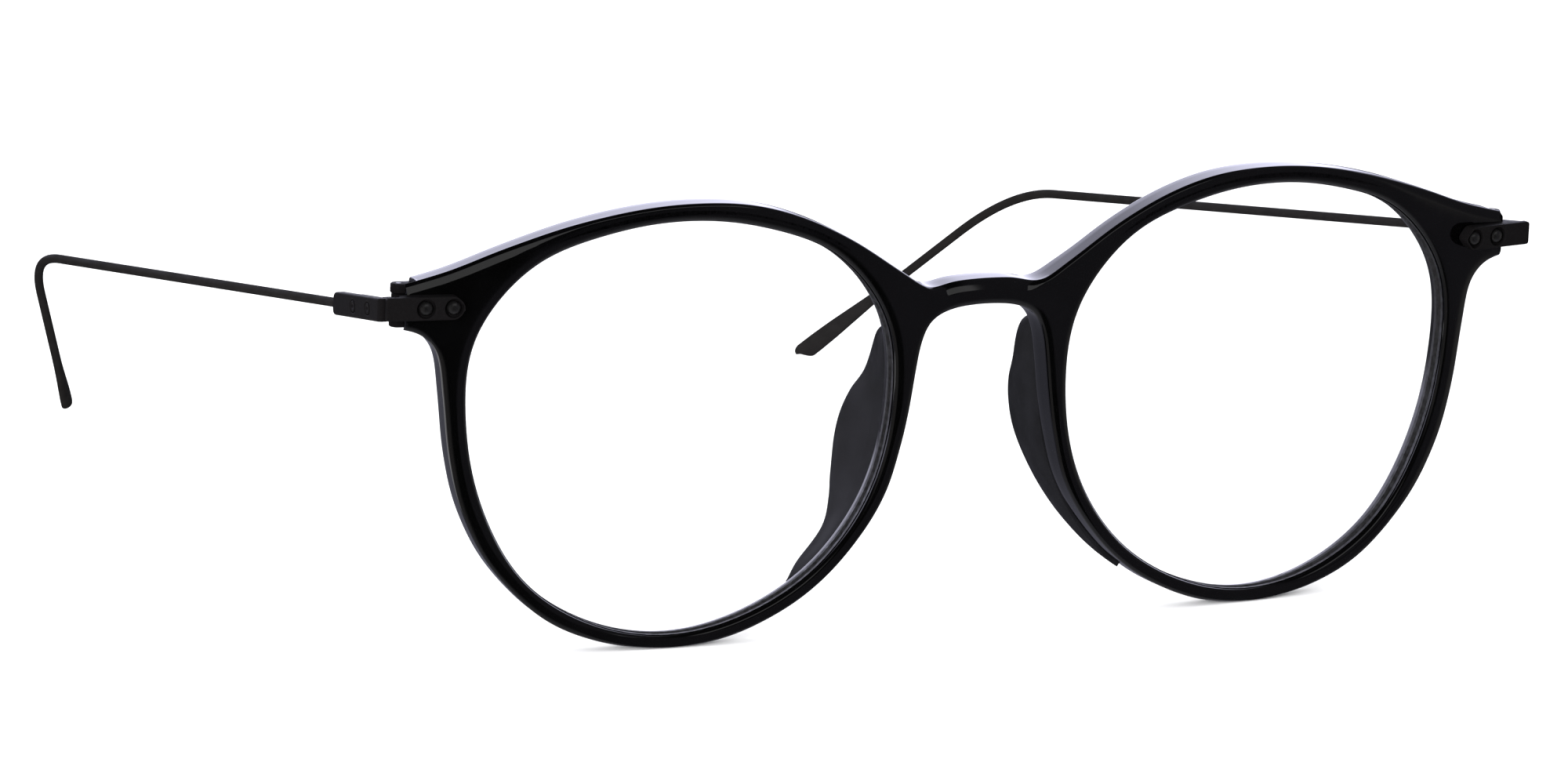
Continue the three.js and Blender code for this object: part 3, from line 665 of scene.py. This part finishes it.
def end_bar_mesh():
    build = Build()
    half = BAR_HEIGHT / 2
    loop = rounded_polygon([
        (BAR_TIP, 0), (BAR_SHOULDER, -half), (BAR_END, -half), (BAR_END, half),
        (BAR_SHOULDER, half),
    ], [0.62, 0.4, 0.35, 0.35, 0.4]) + np.array([0, BAR_Z])
    face = -FIT - BAR_THICKNESS
    holes = [(circle((at, BAR_Z), RIVET_RECESS_R)[::-1], face + RIVET_RECESS_DEPTH)
             for at in RIVETS_AT]

    def lift(flat, back):
        points = facing_front(flat, back)
        thin = smoothstep(points[:, 0], BAR_STEP_AT - BAR_STEP_EASE, BAR_STEP_AT + BAR_STEP_EASE)
        behind = smoothstep(points[:, 1], face + BAR_STEP_FROM, -FIT)
        points[:, 1] -= BAR_STEP * thin * behind
        return points

    slab(build, densify(loop, 0.2), face, -FIT, BAR_EDGE, lift, holes, step=0.25)
    return outward(build)


def lathe(build, profile, lift):
    """Solid of revolution: profile of (radius, height) pairs, first and last on the axis."""
    count = 40
    turn = np.arange(count) * 2 * math.pi / count
    rings = []
    for radius, height in profile:
        if radius < 1e-6:
            rings.append(build.add(lift(np.array([[0.0, 0.0]]), height)) * count)
        else:
            flat = np.stack([radius * np.cos(turn), radius * np.sin(turn)], axis=1)
            rings.append(build.add(lift(flat, height)))
    for a, b in zip(rings, rings[1:]):
        for i in range(count):
            j = (i + 1) % count
            corners = [a[i], a[j], b[j], b[i]]
            build.face(sorted(set(corners), key=corners.index))


def rivet_mesh(at):
    build = Build()
    seat_y = -FIT - BAR_THICKNESS + RIVET_RECESS_DEPTH - TIGHT
    back_y = RIM_DEPTH + TIGHT + BACK_PLATE + TIGHT
    turn = np.linspace(0, math.pi / 2, 12)
    dome = [(RIVET_HEAD_R * math.sin(a), seat_y - RIVET_RIM - RIVET_DOME * math.cos(a)) for a in turn]
    tail = [(RIVET_TAIL_R * math.cos(a), back_y + RIVET_TAIL * math.sin(a)) for a in turn]
    under_head = seat_y - TIGHT
    shank = [(RIVET_HEAD_R, under_head), (RIVET_SHANK_R, under_head), (RIVET_SHANK_R, back_y)]
    profile = dome + shank + tail
    lathe(build, profile, lambda flat, back: facing_front(flat + (at, BAR_Z), back))
    return outward(build)


def bevelled(build, width):
    """Rounds a mesh's hard edges with Blender's bevel and returns the result as a Build."""
    mesh = bpy.data.meshes.new("bevel")
    mesh.from_pydata(build.points, [], build.faces)
    obj = bpy.data.objects.new("bevel", mesh)
    bpy.context.scene.collection.objects.link(obj)
    modifier = obj.modifiers.new("bevel", "BEVEL")
    modifier.width = width
    modifier.segments = 3
    modifier.limit_method = "ANGLE"
    modifier.angle_limit = math.radians(35)
    made = obj.evaluated_get(bpy.context.evaluated_depsgraph_get()).to_mesh()
    result = Build()
    result.add([tuple(v.co) for v in made.vertices])
    for polygon in made.polygons:
        result.face(list(polygon.vertices))
    bpy.data.objects.remove(obj)
    return result


def prism(profile, low, high, lift):
    build = Build()
    a = build.add(lift(profile, low))
    b = build.add(lift(profile, high))
    build.strip(b, a)
    build.fan(a)
    build.fan(b, flip=True)
    return outward(build)


def outward(build):
    """Turns the faces of a closed solid so that they look outwards."""
    points = np.array(build.points)
    volume = 0.0
    for face in build.faces:
        for b, c in zip(face[1:], face[2:]):
            volume += np.dot(points[face[0]], np.cross(points[b], points[c]))
    if volume < 0:
        build.faces = [face[::-1] for face in build.faces]
    return build


def merge(*builds):
    result = Build()
    for build in builds:
        start = len(result.points)
        result.add(build.points)
        for face, slot in zip(build.faces, build.slots):
            result.face([k + start for k in face], slot)
    return result


def facing_up(flat, height):
    """A plate whose face looks down: (along, back) to space, height to +Z."""
    return np.stack([flat[:, 0], flat[:, 1], np.full(len(flat), float(height))], axis=1)


def tube(inner, outer, low, high, edge):
    """Upright round tube about the hinge axis, with broken edges."""
    build = Build()
    profile = [
        (inner, low + edge), (inner + edge, low), (outer - edge, low), (outer, low + edge),
        (outer, high - edge), (outer - edge, high), (inner + edge, high), (inner, high - edge),
    ]
    rings = [build.add(facing_up(circle((0, 0), radius), height)) for radius, height in profile]
    for a, b in zip(rings, rings[1:] + rings[:1]):
        build.strip(a, b)
    return outward(build)


def hinge_block_mesh():
    """Hinge plate behind the lug, and a barrel with a slot for the knuckle at its end."""
    start = BLOCK_FROM
    front, back = PIVOT_BACK - BARREL_R, PIVOT_BACK + BARREL_R
    slot_x = PIVOT_ALONG - KNUCKLE_R - SLOT_ROOM
    web_x = start + WEB
    plate_y = (RIM_DEPTH + TIGHT, RIM_DEPTH + TIGHT + BACK_PLATE)
    low, high = BAR_Z - BACK_PLATE_HEIGHT / 2, BAR_Z + BACK_PLATE_HEIGHT / 2
    plate = rounded_polygon([
        (BACK_PLATE_FROM, low), (web_x, low), (web_x, high), (BACK_PLATE_FROM, high),
    ], [0.5, 0.05, 0.05, 0.5])
    turn = np.linspace(-math.pi / 2, math.pi / 2, 25)
    round_end = np.stack([np.cos(turn), np.sin(turn)], axis=1) * BARREL_R + (PIVOT_ALONG, PIVOT_BACK)
    ear = np.vstack([[(start, front)], round_end, [(start, back)]])
    spine = np.array([(start, front), (slot_x, front), (slot_x, back), (start, back)])
    web_y = (front + 0.1, plate_y[0])
    web = np.array([(start, web_y[0]), (web_x, web_y[0]), (web_x, web_y[1]), (start, web_y[1])])
    overlap = 0.2
    return merge(
        bevelled(prism(plate, plate_y[0], plate_y[1], facing_front), FINE_BEVEL),
        bevelled(prism(ear, BLOCK_Z[0], SLOT_Z[0], facing_up), SOFT_BEVEL),
        bevelled(prism(ear, SLOT_Z[1], BLOCK_Z[1], facing_up), SOFT_BEVEL),
        bevelled(prism(spine, SLOT_Z[0] - overlap, SLOT_Z[1] + overlap, facing_up), CRISP_BEVEL),
        bevelled(prism(web, BAR_Z - WEB_HEIGHT / 2, BAR_Z + WEB_HEIGHT / 2, facing_up), CRISP_BEVEL),
    )


def hinge_screw_mesh():
    build = Build()
    bottom, top = BLOCK_Z[0] + SCREW_SUNK[0], BLOCK_Z[1] - SCREW_SUNK[1]
    under_head = top - SCREW_HEAD
    point, rim = 0.05, 0.03
    profile = [
        (0, bottom), (SCREW_R - point, bottom), (SCREW_R, bottom + point),
        (SCREW_R, under_head), (SCREW_HEAD_R, under_head),
        (SCREW_HEAD_R, top - rim), (SCREW_HEAD_R - 2 * rim, top + rim), (0, top + 0.05),
    ]
    lathe(build, profile, lambda flat, height: facing_up(flat + (PIVOT_ALONG, PIVOT_BACK), height))
    return outward(build)


def arm_z(along):
    return ARM_FRONT_Z - TEMPLE_FALL * (along - ARM_FRONT)


def arm_loop(rear, height, corner):
    half = height / 2
    return rounded_polygon([
        (ARM_FRONT, arm_z(ARM_FRONT) - half), (rear, arm_z(rear) - half),
        (rear, arm_z(rear) + half), (ARM_FRONT, arm_z(ARM_FRONT) + half),
    ], [0.06, corner, corner, 0.06])


def facing_out(flat, inward):
    """A plate whose face looks to +X: (along, height) to space; inward counts from PLATE_X[1]."""
    return np.stack([np.full(len(flat), PLATE_X[1] - float(inward)), flat[:, 0], flat[:, 1]], axis=1)


def arm_plate_mesh():
    build = Build()
    loop = densify(arm_loop(ARM_REAR, ARM_HEIGHT, ARM_CORNER), 0.25)
    room, floor = PIN_RECESS
    holes = [(circle((at, arm_z(at)), ARM_PIN_R + room)[::-1], floor) for at in ARM_PINS_AT]
    thickness = PLATE_X[1] - PLATE_X[0]

    def lift(flat, inward):
        points = facing_out(flat, inward)
        ahead = np.clip((points[:, 1] - ARM_FRONT) / ARM_FRONT_ROUND, 0, 1)
        rounded = ARM_FRONT_ROUND * (1 - np.sqrt(1 - (1 - ahead) ** 2))
        points[:, 0] -= rounded * (1 - inward / thickness) * ARM_FRONT_SHARE
        return points

    slab(build, loop, 0.0, thickness, ARM_EDGE, lift, holes, step=0.2)
    return outward(build)


def hinge_leaf_mesh():
    """Flat leaf inside the arm plate, and a bored knuckle that a tongue joins to it."""
    leaf = prism(arm_loop(LEAF_REAR, LEAF_HEIGHT, LEAF_CORNER), PLATE_X[1] - LEAF_X[1],
                 PLATE_X[1] - LEAF_X[0], facing_out)
    bore = SCREW_R + FIT
    eye = tube(bore, KNUCKLE_R, KNUCKLE_Z[0], KNUCKLE_Z[1], 0.05)
    near, far = bore + 0.08, LEAF_X[0] + 0.3
    tongue = np.array([(near, TONGUE_FROM), (far, TONGUE_FROM), (far, KNUCKLE_R), (near, KNUCKLE_R)])
    web = prism(tongue, KNUCKLE_Z[0], KNUCKLE_Z[1] - TONGUE_SHORT, facing_up)
    return merge(bevelled(leaf, FINE_BEVEL), eye, bevelled(web, 0.06))


def arm_pin_mesh(at):
    """Pin head with a dimple, just proud of its countersink."""
    build = Build()
    turn = np.linspace(0, math.pi / 2, 7)
    head = PIN_DIMPLE + [(ARM_PIN_R - PIN_ROUND * (1 - math.sin(a)), PIN_ROUND * (1 - math.cos(a)))
                         for a in turn]
    profile = [(radius, depth - PIN_PROUD) for radius, depth in head]
    inner = PLATE_X[1] - LEAF_X[0] - 0.05
    profile += [(ARM_PIN_R, inner - 0.05), (ARM_PIN_R - 0.08, inner), (0, inner)]
    lathe(build, profile, lambda flat, depth: facing_out(flat + (at, arm_z(at)), depth))
    return outward(build)


def wire_line():
    """Even points along the wire's centre line, in the front's drawing frame."""
    start = TEMPLE_FRAME @ Vector(((PLATE_X[0] + PLATE_X[1]) / 2, ARM_REAR + WIRE_GAP, arm_z(ARM_REAR)))
    bend, tip = Vector(WIRE_BEND), Vector(WIRE_TIP)
    bend_in = bend + (start - bend).normalized() * BEND_ROUND
    bend_out = bend + (tip - bend).normalized() * BEND_ROUND
    t = np.linspace(0, 1, 40)[:, None]
    curve = (1 - t) ** 2 * np.array(bend_in) + 2 * t * (1 - t) * np.array(bend) + t**2 * np.array(bend_out)
    return np.vstack([np.linspace(start, bend_in, 120)[:-1], curve, np.linspace(bend_out, tip, 60)[1:]])


def temple_wire_mesh():
    """Round wire whose end is flattened, twisted and cut at a slant."""
    build = Build()
    line = wire_line()
    along = np.concatenate([[0], np.cumsum(np.linalg.norm(np.diff(line, axis=0), axis=1))])
    total = along[-1]
    near_end = total - PADDLE_END + PADDLE_END * np.sin(np.linspace(0.05, math.pi / 2, 24))
    turn = np.arange(28) * 2 * math.pi / 28
    blunt_wide, blunt_thin = PADDLE_BLUNT

    def at(s):
        return np.array([np.interp(s, along, line[:, k]) for k in range(3)])

    def rounded(share):
        return math.sqrt(1 - (1 - min(share, 1)) ** 2)

    previous = None
    for s in np.concatenate([np.linspace(0, total - PADDLE_END, 230), near_end]):
        from_end = total - s
        ahead = at(min(s + 0.5, total)) - at(min(s + 0.5, total) - 1.0)
        ahead /= np.linalg.norm(ahead)
        flat = 1 - float(smoothstep(from_end, *PADDLE_RANGE))
        tall = np.cross([1, 0, 0], ahead)
        tall /= np.linalg.norm(tall)
        thick = np.cross(ahead, tall)
        twist = -PADDLE_TWIST * flat
        tall, thick = (math.cos(twist) * tall + math.sin(twist) * thick,
                       math.cos(twist) * thick - math.sin(twist) * tall)
        wide = WIRE_R + (PADDLE_WIDE - WIRE_R) * flat
        wide *= blunt_wide + (1 - blunt_wide) * rounded(from_end / PADDLE_WIDE)
        thin = WIRE_R + (PADDLE_THIN - WIRE_R) * flat
        thin *= max(rounded(from_end / PADDLE_THIN), blunt_thin)
        cut_back = PADDLE_SLANT * (1 - np.cos(turn)) / 2 * max(0, 1 - from_end / PADDLE_SLANT_FROM)
        ring = at(s) + np.outer(wide * np.cos(turn), tall) - np.outer(thin * np.sin(turn), thick)
        ids = build.add(ring - np.outer(cut_back, ahead))
        if previous is None:
            build.fan(ids)
        else:
            build.strip(ids, previous)
        previous = ids
    build.fan(previous, flip=True)
    return outward(build)


# ---------------------------------------------------------------- materials

def new_material(name, **sockets):
    material = bpy.data.materials.new(name)
    material.use_nodes = True
    shader = material.node_tree.nodes["Principled BSDF"]
    for socket, value in sockets.items():
        shader.inputs[socket.replace("_", " ")].default_value = value
    return material, material.node_tree, shader


def noise(tree, scale, detail=3.0, stretch=(1, 1, 1)):
    coordinates = tree.nodes.new("ShaderNodeTexCoord")
    mapping = tree.nodes.new("ShaderNodeMapping")
    mapping.inputs["Scale"].default_value = stretch
    texture = tree.nodes.new("ShaderNodeTexNoise")
    texture.inputs["Scale"].default_value = scale
    texture.inputs["Detail"].default_value = detail
    tree.links.new(coordinates.outputs["Object"], mapping.inputs["Vector"])
    tree.links.new(mapping.outputs["Vector"], texture.inputs["Vector"])
    return texture.outputs["Fac"]


def ramp(tree, source, low, high, start=0.3, end=0.7):
    node = tree.nodes.new("ShaderNodeValToRGB")
    node.color_ramp.elements[0].position = start
    node.color_ramp.elements[1].position = end
    node.color_ramp.elements[0].color = (*low, 1)
    node.color_ramp.elements[1].color = (*high, 1)
    tree.links.new(source, node.inputs["Fac"])
    return node.outputs["Color"]


def bump(tree, source, strength, distance):
    node = tree.nodes.new("ShaderNodeBump")
    node.inputs["Strength"].default_value = strength
    node.inputs["Distance"].default_value = distance
    tree.links.new(source, node.inputs["Height"])
    return node.outputs["Normal"]


def vary(tree, shader, socket, source, low, high, start=0.3, end=0.7):
    tree.links.new(ramp(tree, source, low, high, start, end), shader.inputs[socket])


def black_plastic():
    material, tree, shader = new_material("black_plastic", IOR=1.49, Metallic=0.0)
    vary(tree, shader, "Base Color", noise(tree, 180, 4), (0.0002,) * 3, (0.0005, 0.0005, 0.0006))
    vary(tree, shader, "Roughness", noise(tree, 420, 4), (0.045,) * 3, (0.085,) * 3)
    tree.links.new(bump(tree, noise(tree, 260, 2), 0.06, 0.00003), shader.inputs["Normal"])
    return material


def pad_plastic():
    material, tree, shader = new_material("pad_plastic", IOR=1.06, Metallic=0.0)
    vary(tree, shader, "Base Color", noise(tree, 240, 3), (0.005, 0.005, 0.0055), (0.0085, 0.0085, 0.01))
    vary(tree, shader, "Roughness", noise(tree, 500, 3), (0.28,) * 3, (0.38,) * 3)
    tree.links.new(bump(tree, noise(tree, 700, 3), 0.15, 0.00003), shader.inputs["Normal"])
    return material


def matt_metal(name, dark, light, roughness, ior):
    material, tree, shader = new_material(name, IOR=ior, Metallic=0.0)
    vary(tree, shader, "Base Color", noise(tree, 4200, 4), dark, light)
    vary(tree, shader, "Roughness", noise(tree, 1500, 3), (roughness - 0.05,) * 3, (roughness + 0.06,) * 3)
    tree.links.new(bump(tree, noise(tree, 5200, 3), 0.35, 0.00002), shader.inputs["Normal"])
    return material


def wire_metal():
    material, tree, shader = new_material("wire_metal", IOR=1.04, Metallic=0.0)
    drawn = noise(tree, 2600, 4, stretch=(1.0, 0.05, 0.4))
    vary(tree, shader, "Base Color", noise(tree, 700, 4), (0.0066, 0.0061, 0.006), (0.0088, 0.0081, 0.0079))
    vary(tree, shader, "Roughness", drawn, (0.45,) * 3, (0.6,) * 3)
    tree.links.new(bump(tree, drawn, 0.3, 0.00002), shader.inputs["Normal"])
    return material


def clear_lens():
    """Clear and uncoated: lets the light through, with a mirror's glint where it slants."""
    material, tree, shader = new_material("clear_lens", IOR=1.5, Metallic=1.0)
    vary(tree, shader, "Base Color", noise(tree, 30, 2), (0.93, 0.96, 0.95), (1, 1, 1))
    vary(tree, shader, "Roughness", noise(tree, 60, 2), (0.01,) * 3, (0.03,) * 3)
    slant = tree.nodes.new("ShaderNodeLayerWeight").outputs["Facing"]
    fifth_power = tree.nodes.new("ShaderNodeMath")
    fifth_power.operation = "POWER"
    fifth_power.inputs[1].default_value = 5
    tree.links.new(slant, fifth_power.inputs[0])
    glint = tree.nodes.new("ShaderNodeMapRange")
    glint.inputs["To Min"].default_value = 0.02
    glint.inputs["To Max"].default_value = 0.8
    tree.links.new(fifth_power.outputs["Value"], glint.inputs["Value"])
    mix = tree.nodes.new("ShaderNodeMixShader")
    tree.links.new(glint.outputs["Result"], mix.inputs["Fac"])
    tree.links.new(tree.nodes.new("ShaderNodeBsdfTransparent").outputs["BSDF"], mix.inputs[1])
    tree.links.new(shader.outputs["BSDF"], mix.inputs[2])
    tree.links.new(mix.outputs["Shader"], tree.nodes["Material Output"].inputs["Surface"])
    return material


def ground_edge():
    """The lens's ground edge, frosted by the wheel that cut it."""
    material, tree, shader = new_material("ground_edge", IOR=1.5)
    vary(tree, shader, "Base Color", noise(tree, 2600, 5), (0.002,) * 3, (0.011, 0.011, 0.013), 0.4, 0.66)
    vary(tree, shader, "Roughness", noise(tree, 1400, 3), (0.45,) * 3, (0.7,) * 3)
    tree.links.new(bump(tree, noise(tree, 2200, 4), 0.6, 0.00005), shader.inputs["Normal"])
    return material


def floor_material():
    material, tree, shader = new_material("pale_floor", Roughness=0.9)
    vary(tree, shader, "Base Color", noise(tree, 3, 3), (0.84, 0.84, 0.85), (0.87, 0.87, 0.88))
    return material


# ---------------------------------------------------------------- assembly

def build_glasses():
    plastic, pads = black_plastic(), pad_plastic()
    lens_look, edge_look = clear_lens(), ground_edge()
    metal = matt_metal("dark_metal", (0.003, 0.0027, 0.0029), (0.0038, 0.0035, 0.0037), 0.4, 1.07)
    rivets = matt_metal("rivet_metal", (0.0018, 0.0017, 0.0018), (0.0026, 0.0025, 0.0026), 0.3, 1.5)
    wire = wire_metal()
    piece("front_frame", "front", front_mesh(), [plastic], sharp=50)
    for side, hand in SIDES:
        lens = piece(f"lens_{hand}", "front", lens_mesh(), [lens_look, edge_look], side)
        lens.visible_shadow = False
        piece(f"nose_pad_{hand}", "front", nose_pad_mesh(), [pads], side)
        on_bar = [
            ("end_bar", end_bar_mesh(), metal),
            ("nasal_rivet", rivet_mesh(RIVETS_AT[0]), rivets),
            ("outer_rivet", rivet_mesh(RIVETS_AT[1]), rivets),
            ("hinge_block", hinge_block_mesh(), metal),
            ("hinge_screw", hinge_screw_mesh(), rivets),
        ]
        for name, build, material in on_bar:
            piece(f"{name}_{hand}", "front", build, [material], side, BAR_FRAME)
        on_temple = [
            ("hinge_leaf", hinge_leaf_mesh()),
            ("arm_plate", arm_plate_mesh()),
            ("front_arm_pin", arm_pin_mesh(ARM_PINS_AT[0])),
            ("rear_arm_pin", arm_pin_mesh(ARM_PINS_AT[1])),
        ]
        for name, build in on_temple:
            piece(f"{name}_{hand}", f"temple_{hand}", build, [metal], side, TEMPLE_FRAME)
        piece(f"temple_wire_{hand}", f"temple_{hand}", temple_wire_mesh(), [wire], side)


def add_floor():
    mesh = bpy.data.meshes.new("floor")
    turn = np.arange(96) * 2 * math.pi / 96
    rim = [(FLOOR_RADIUS * math.cos(a), FLOOR_RADIUS * math.sin(a), 0) for a in turn]
    mesh.from_pydata(rim, [], [list(range(len(rim)))])
    mesh.materials.append(floor_material())
    floor = bpy.data.objects.new("floor", mesh)
    bpy.context.scene.collection.objects.link(floor)
    floor.location.z = -FLOOR_DROP
    floor.visible_glossy = False


def add_world():
    """Studio surroundings: white to the camera, and an even soft fill for matt surfaces. In
    reflections a bright low backdrop stands behind the glasses, with a dim room in front."""
    world = bpy.data.worlds.new("studio")
    bpy.context.scene.world = world
    world.use_nodes = True
    tree = world.node_tree
    coordinates = tree.nodes.new("ShaderNodeTexCoord")
    split = tree.nodes.new("ShaderNodeSeparateXYZ")
    tree.links.new(coordinates.outputs["Generated"], split.inputs["Vector"])
    x, y, z = (split.outputs[axis] for axis in "XYZ")

    def soft_step(value, low, high):
        node = tree.nodes.new("ShaderNodeMapRange")
        node.interpolation_type = "SMOOTHSTEP"
        node.inputs["From Min"].default_value = low
        node.inputs["From Max"].default_value = high
        tree.links.new(value, node.inputs["Value"])
        return node.outputs["Result"]

    def blend(amount, first, second):
        """first where amount is 0, second where it is 1; each a colour or a socket."""
        node = tree.nodes.new("ShaderNodeMix")
        node.data_type = "RGBA"
        tree.links.new(amount, node.inputs["Factor"])
        for name, value in (("A", first), ("B", second)):
            socket = next(i for i in node.inputs if i.name == name and i.type == "RGBA")
            if isinstance(value, tuple):
                socket.default_value = (*value, 1)
            else:
                tree.links.new(value, socket)
        return next(o for o in node.outputs if o.type == "RGBA")

    in_front = blend(soft_step(x, *DIM_ROOM_X), DARK, DIM_ROOM)
    in_front = blend(soft_step(x, *RIGHT_SIDE_X), in_front, ROOM_SIDES)
    in_front = blend(soft_step(x, *LEFT_SIDE_X), in_front, ROOM_SIDES)
    overhead = blend(soft_step(x, *DIM_OVERHEAD_X), DARK, DIM_ROOM)
    in_front = blend(soft_step(z, *OVERHEAD_Z), in_front, overhead)
    backdrop = blend(soft_step(z, *TABLE_EDGE_Z), BEHIND_TABLE, BACKDROP)
    backdrop = blend(soft_step(z, *BACKDROP_TOP_Z), backdrop, DARK)
    around = blend(soft_step(y, *BACKDROP_Y), in_front, backdrop)
    around = blend(soft_step(z, *UNDERNEATH_Z), around, UNDERNEATH)
    light_path = tree.nodes.new("ShaderNodeLightPath")
    seen = blend(light_path.outputs["Is Glossy Ray"], SOFT_FILL, around)
    seen = blend(light_path.outputs["Is Camera Ray"], seen, (1.0, 1.0, 1.0))
    tree.links.new(seen, tree.nodes["Background"].inputs["Color"])


def area_light(name, location, target, size, power):
    light = bpy.data.lights.new(name, "AREA")
    light.shape = "RECTANGLE"
    light.size, light.size_y = size
    light.energy = power
    obj = bpy.data.objects.new(name, light)
    obj.location = location
    obj.rotation_euler = (Vector(target) - Vector(location)).to_track_quat("-Z", "Y").to_euler()
    obj.visible_camera = False
    bpy.context.scene.collection.objects.link(obj)
    return obj


def add_lights():
    softbox = area_light("brow_softbox", (0.1, -1.71, 0.97), (0, -0.06, 0.03), (1.6, 0.7), 3.0)
    softbox.visible_diffuse = False
    card = area_light("side_card", (-0.105, 0.01, -0.001), (-0.105, 0.01, 1), (0.06, 0.12), 0.03)
    card.visible_diffuse = False
    key = area_light("left_key", (-1.1, -1.1, 0.35), (0, 0, 0.03), (0.5, 0.5), 40)
    key.visible_glossy = False


def add_camera():
    """Stands to the left of the front and a little above, with a long lens and a slight roll.
    Distance and aim are in drawing millimetres, and the angles in degrees."""
    distance, azimuth, elevation, roll = 1391.03, 27.479, 13.429, 2.760
    aim = Vector((-23.548, 0.4, 2.871))
    a, e, r = map(math.radians, (azimuth, elevation, roll))
    back = Vector((-math.sin(a) * math.cos(e), -math.cos(a) * math.cos(e), math.sin(e)))
    right = Vector((math.cos(a), -math.sin(a), 0))
    up = back.cross(right)
    rolled_right = right * math.cos(r) + up * math.sin(r)
    rolled_up = up * math.cos(r) - right * math.sin(r)
    turn = TO_ROW.to_3x3() * 1000
    axes = [turn @ v for v in (rolled_right, rolled_up, back)]
    place = Matrix((axes[0], axes[1], axes[2])).transposed().to_4x4()
    place.translation = TO_ROW @ (aim + back * distance)
    data = bpy.data.cameras.new("camera")
    data.sensor_width = 36
    data.lens = 302.7
    data.clip_start, data.clip_end = 0.05, 20
    camera = bpy.data.objects.new("camera", data)
    camera.matrix_world = place
    bpy.context.scene.collection.objects.link(camera)
    bpy.context.scene.camera = camera


build_glasses()
add_floor()
add_world()
add_lights()
add_camera()
bpy.context.scene.view_settings.view_transform = "Standard"
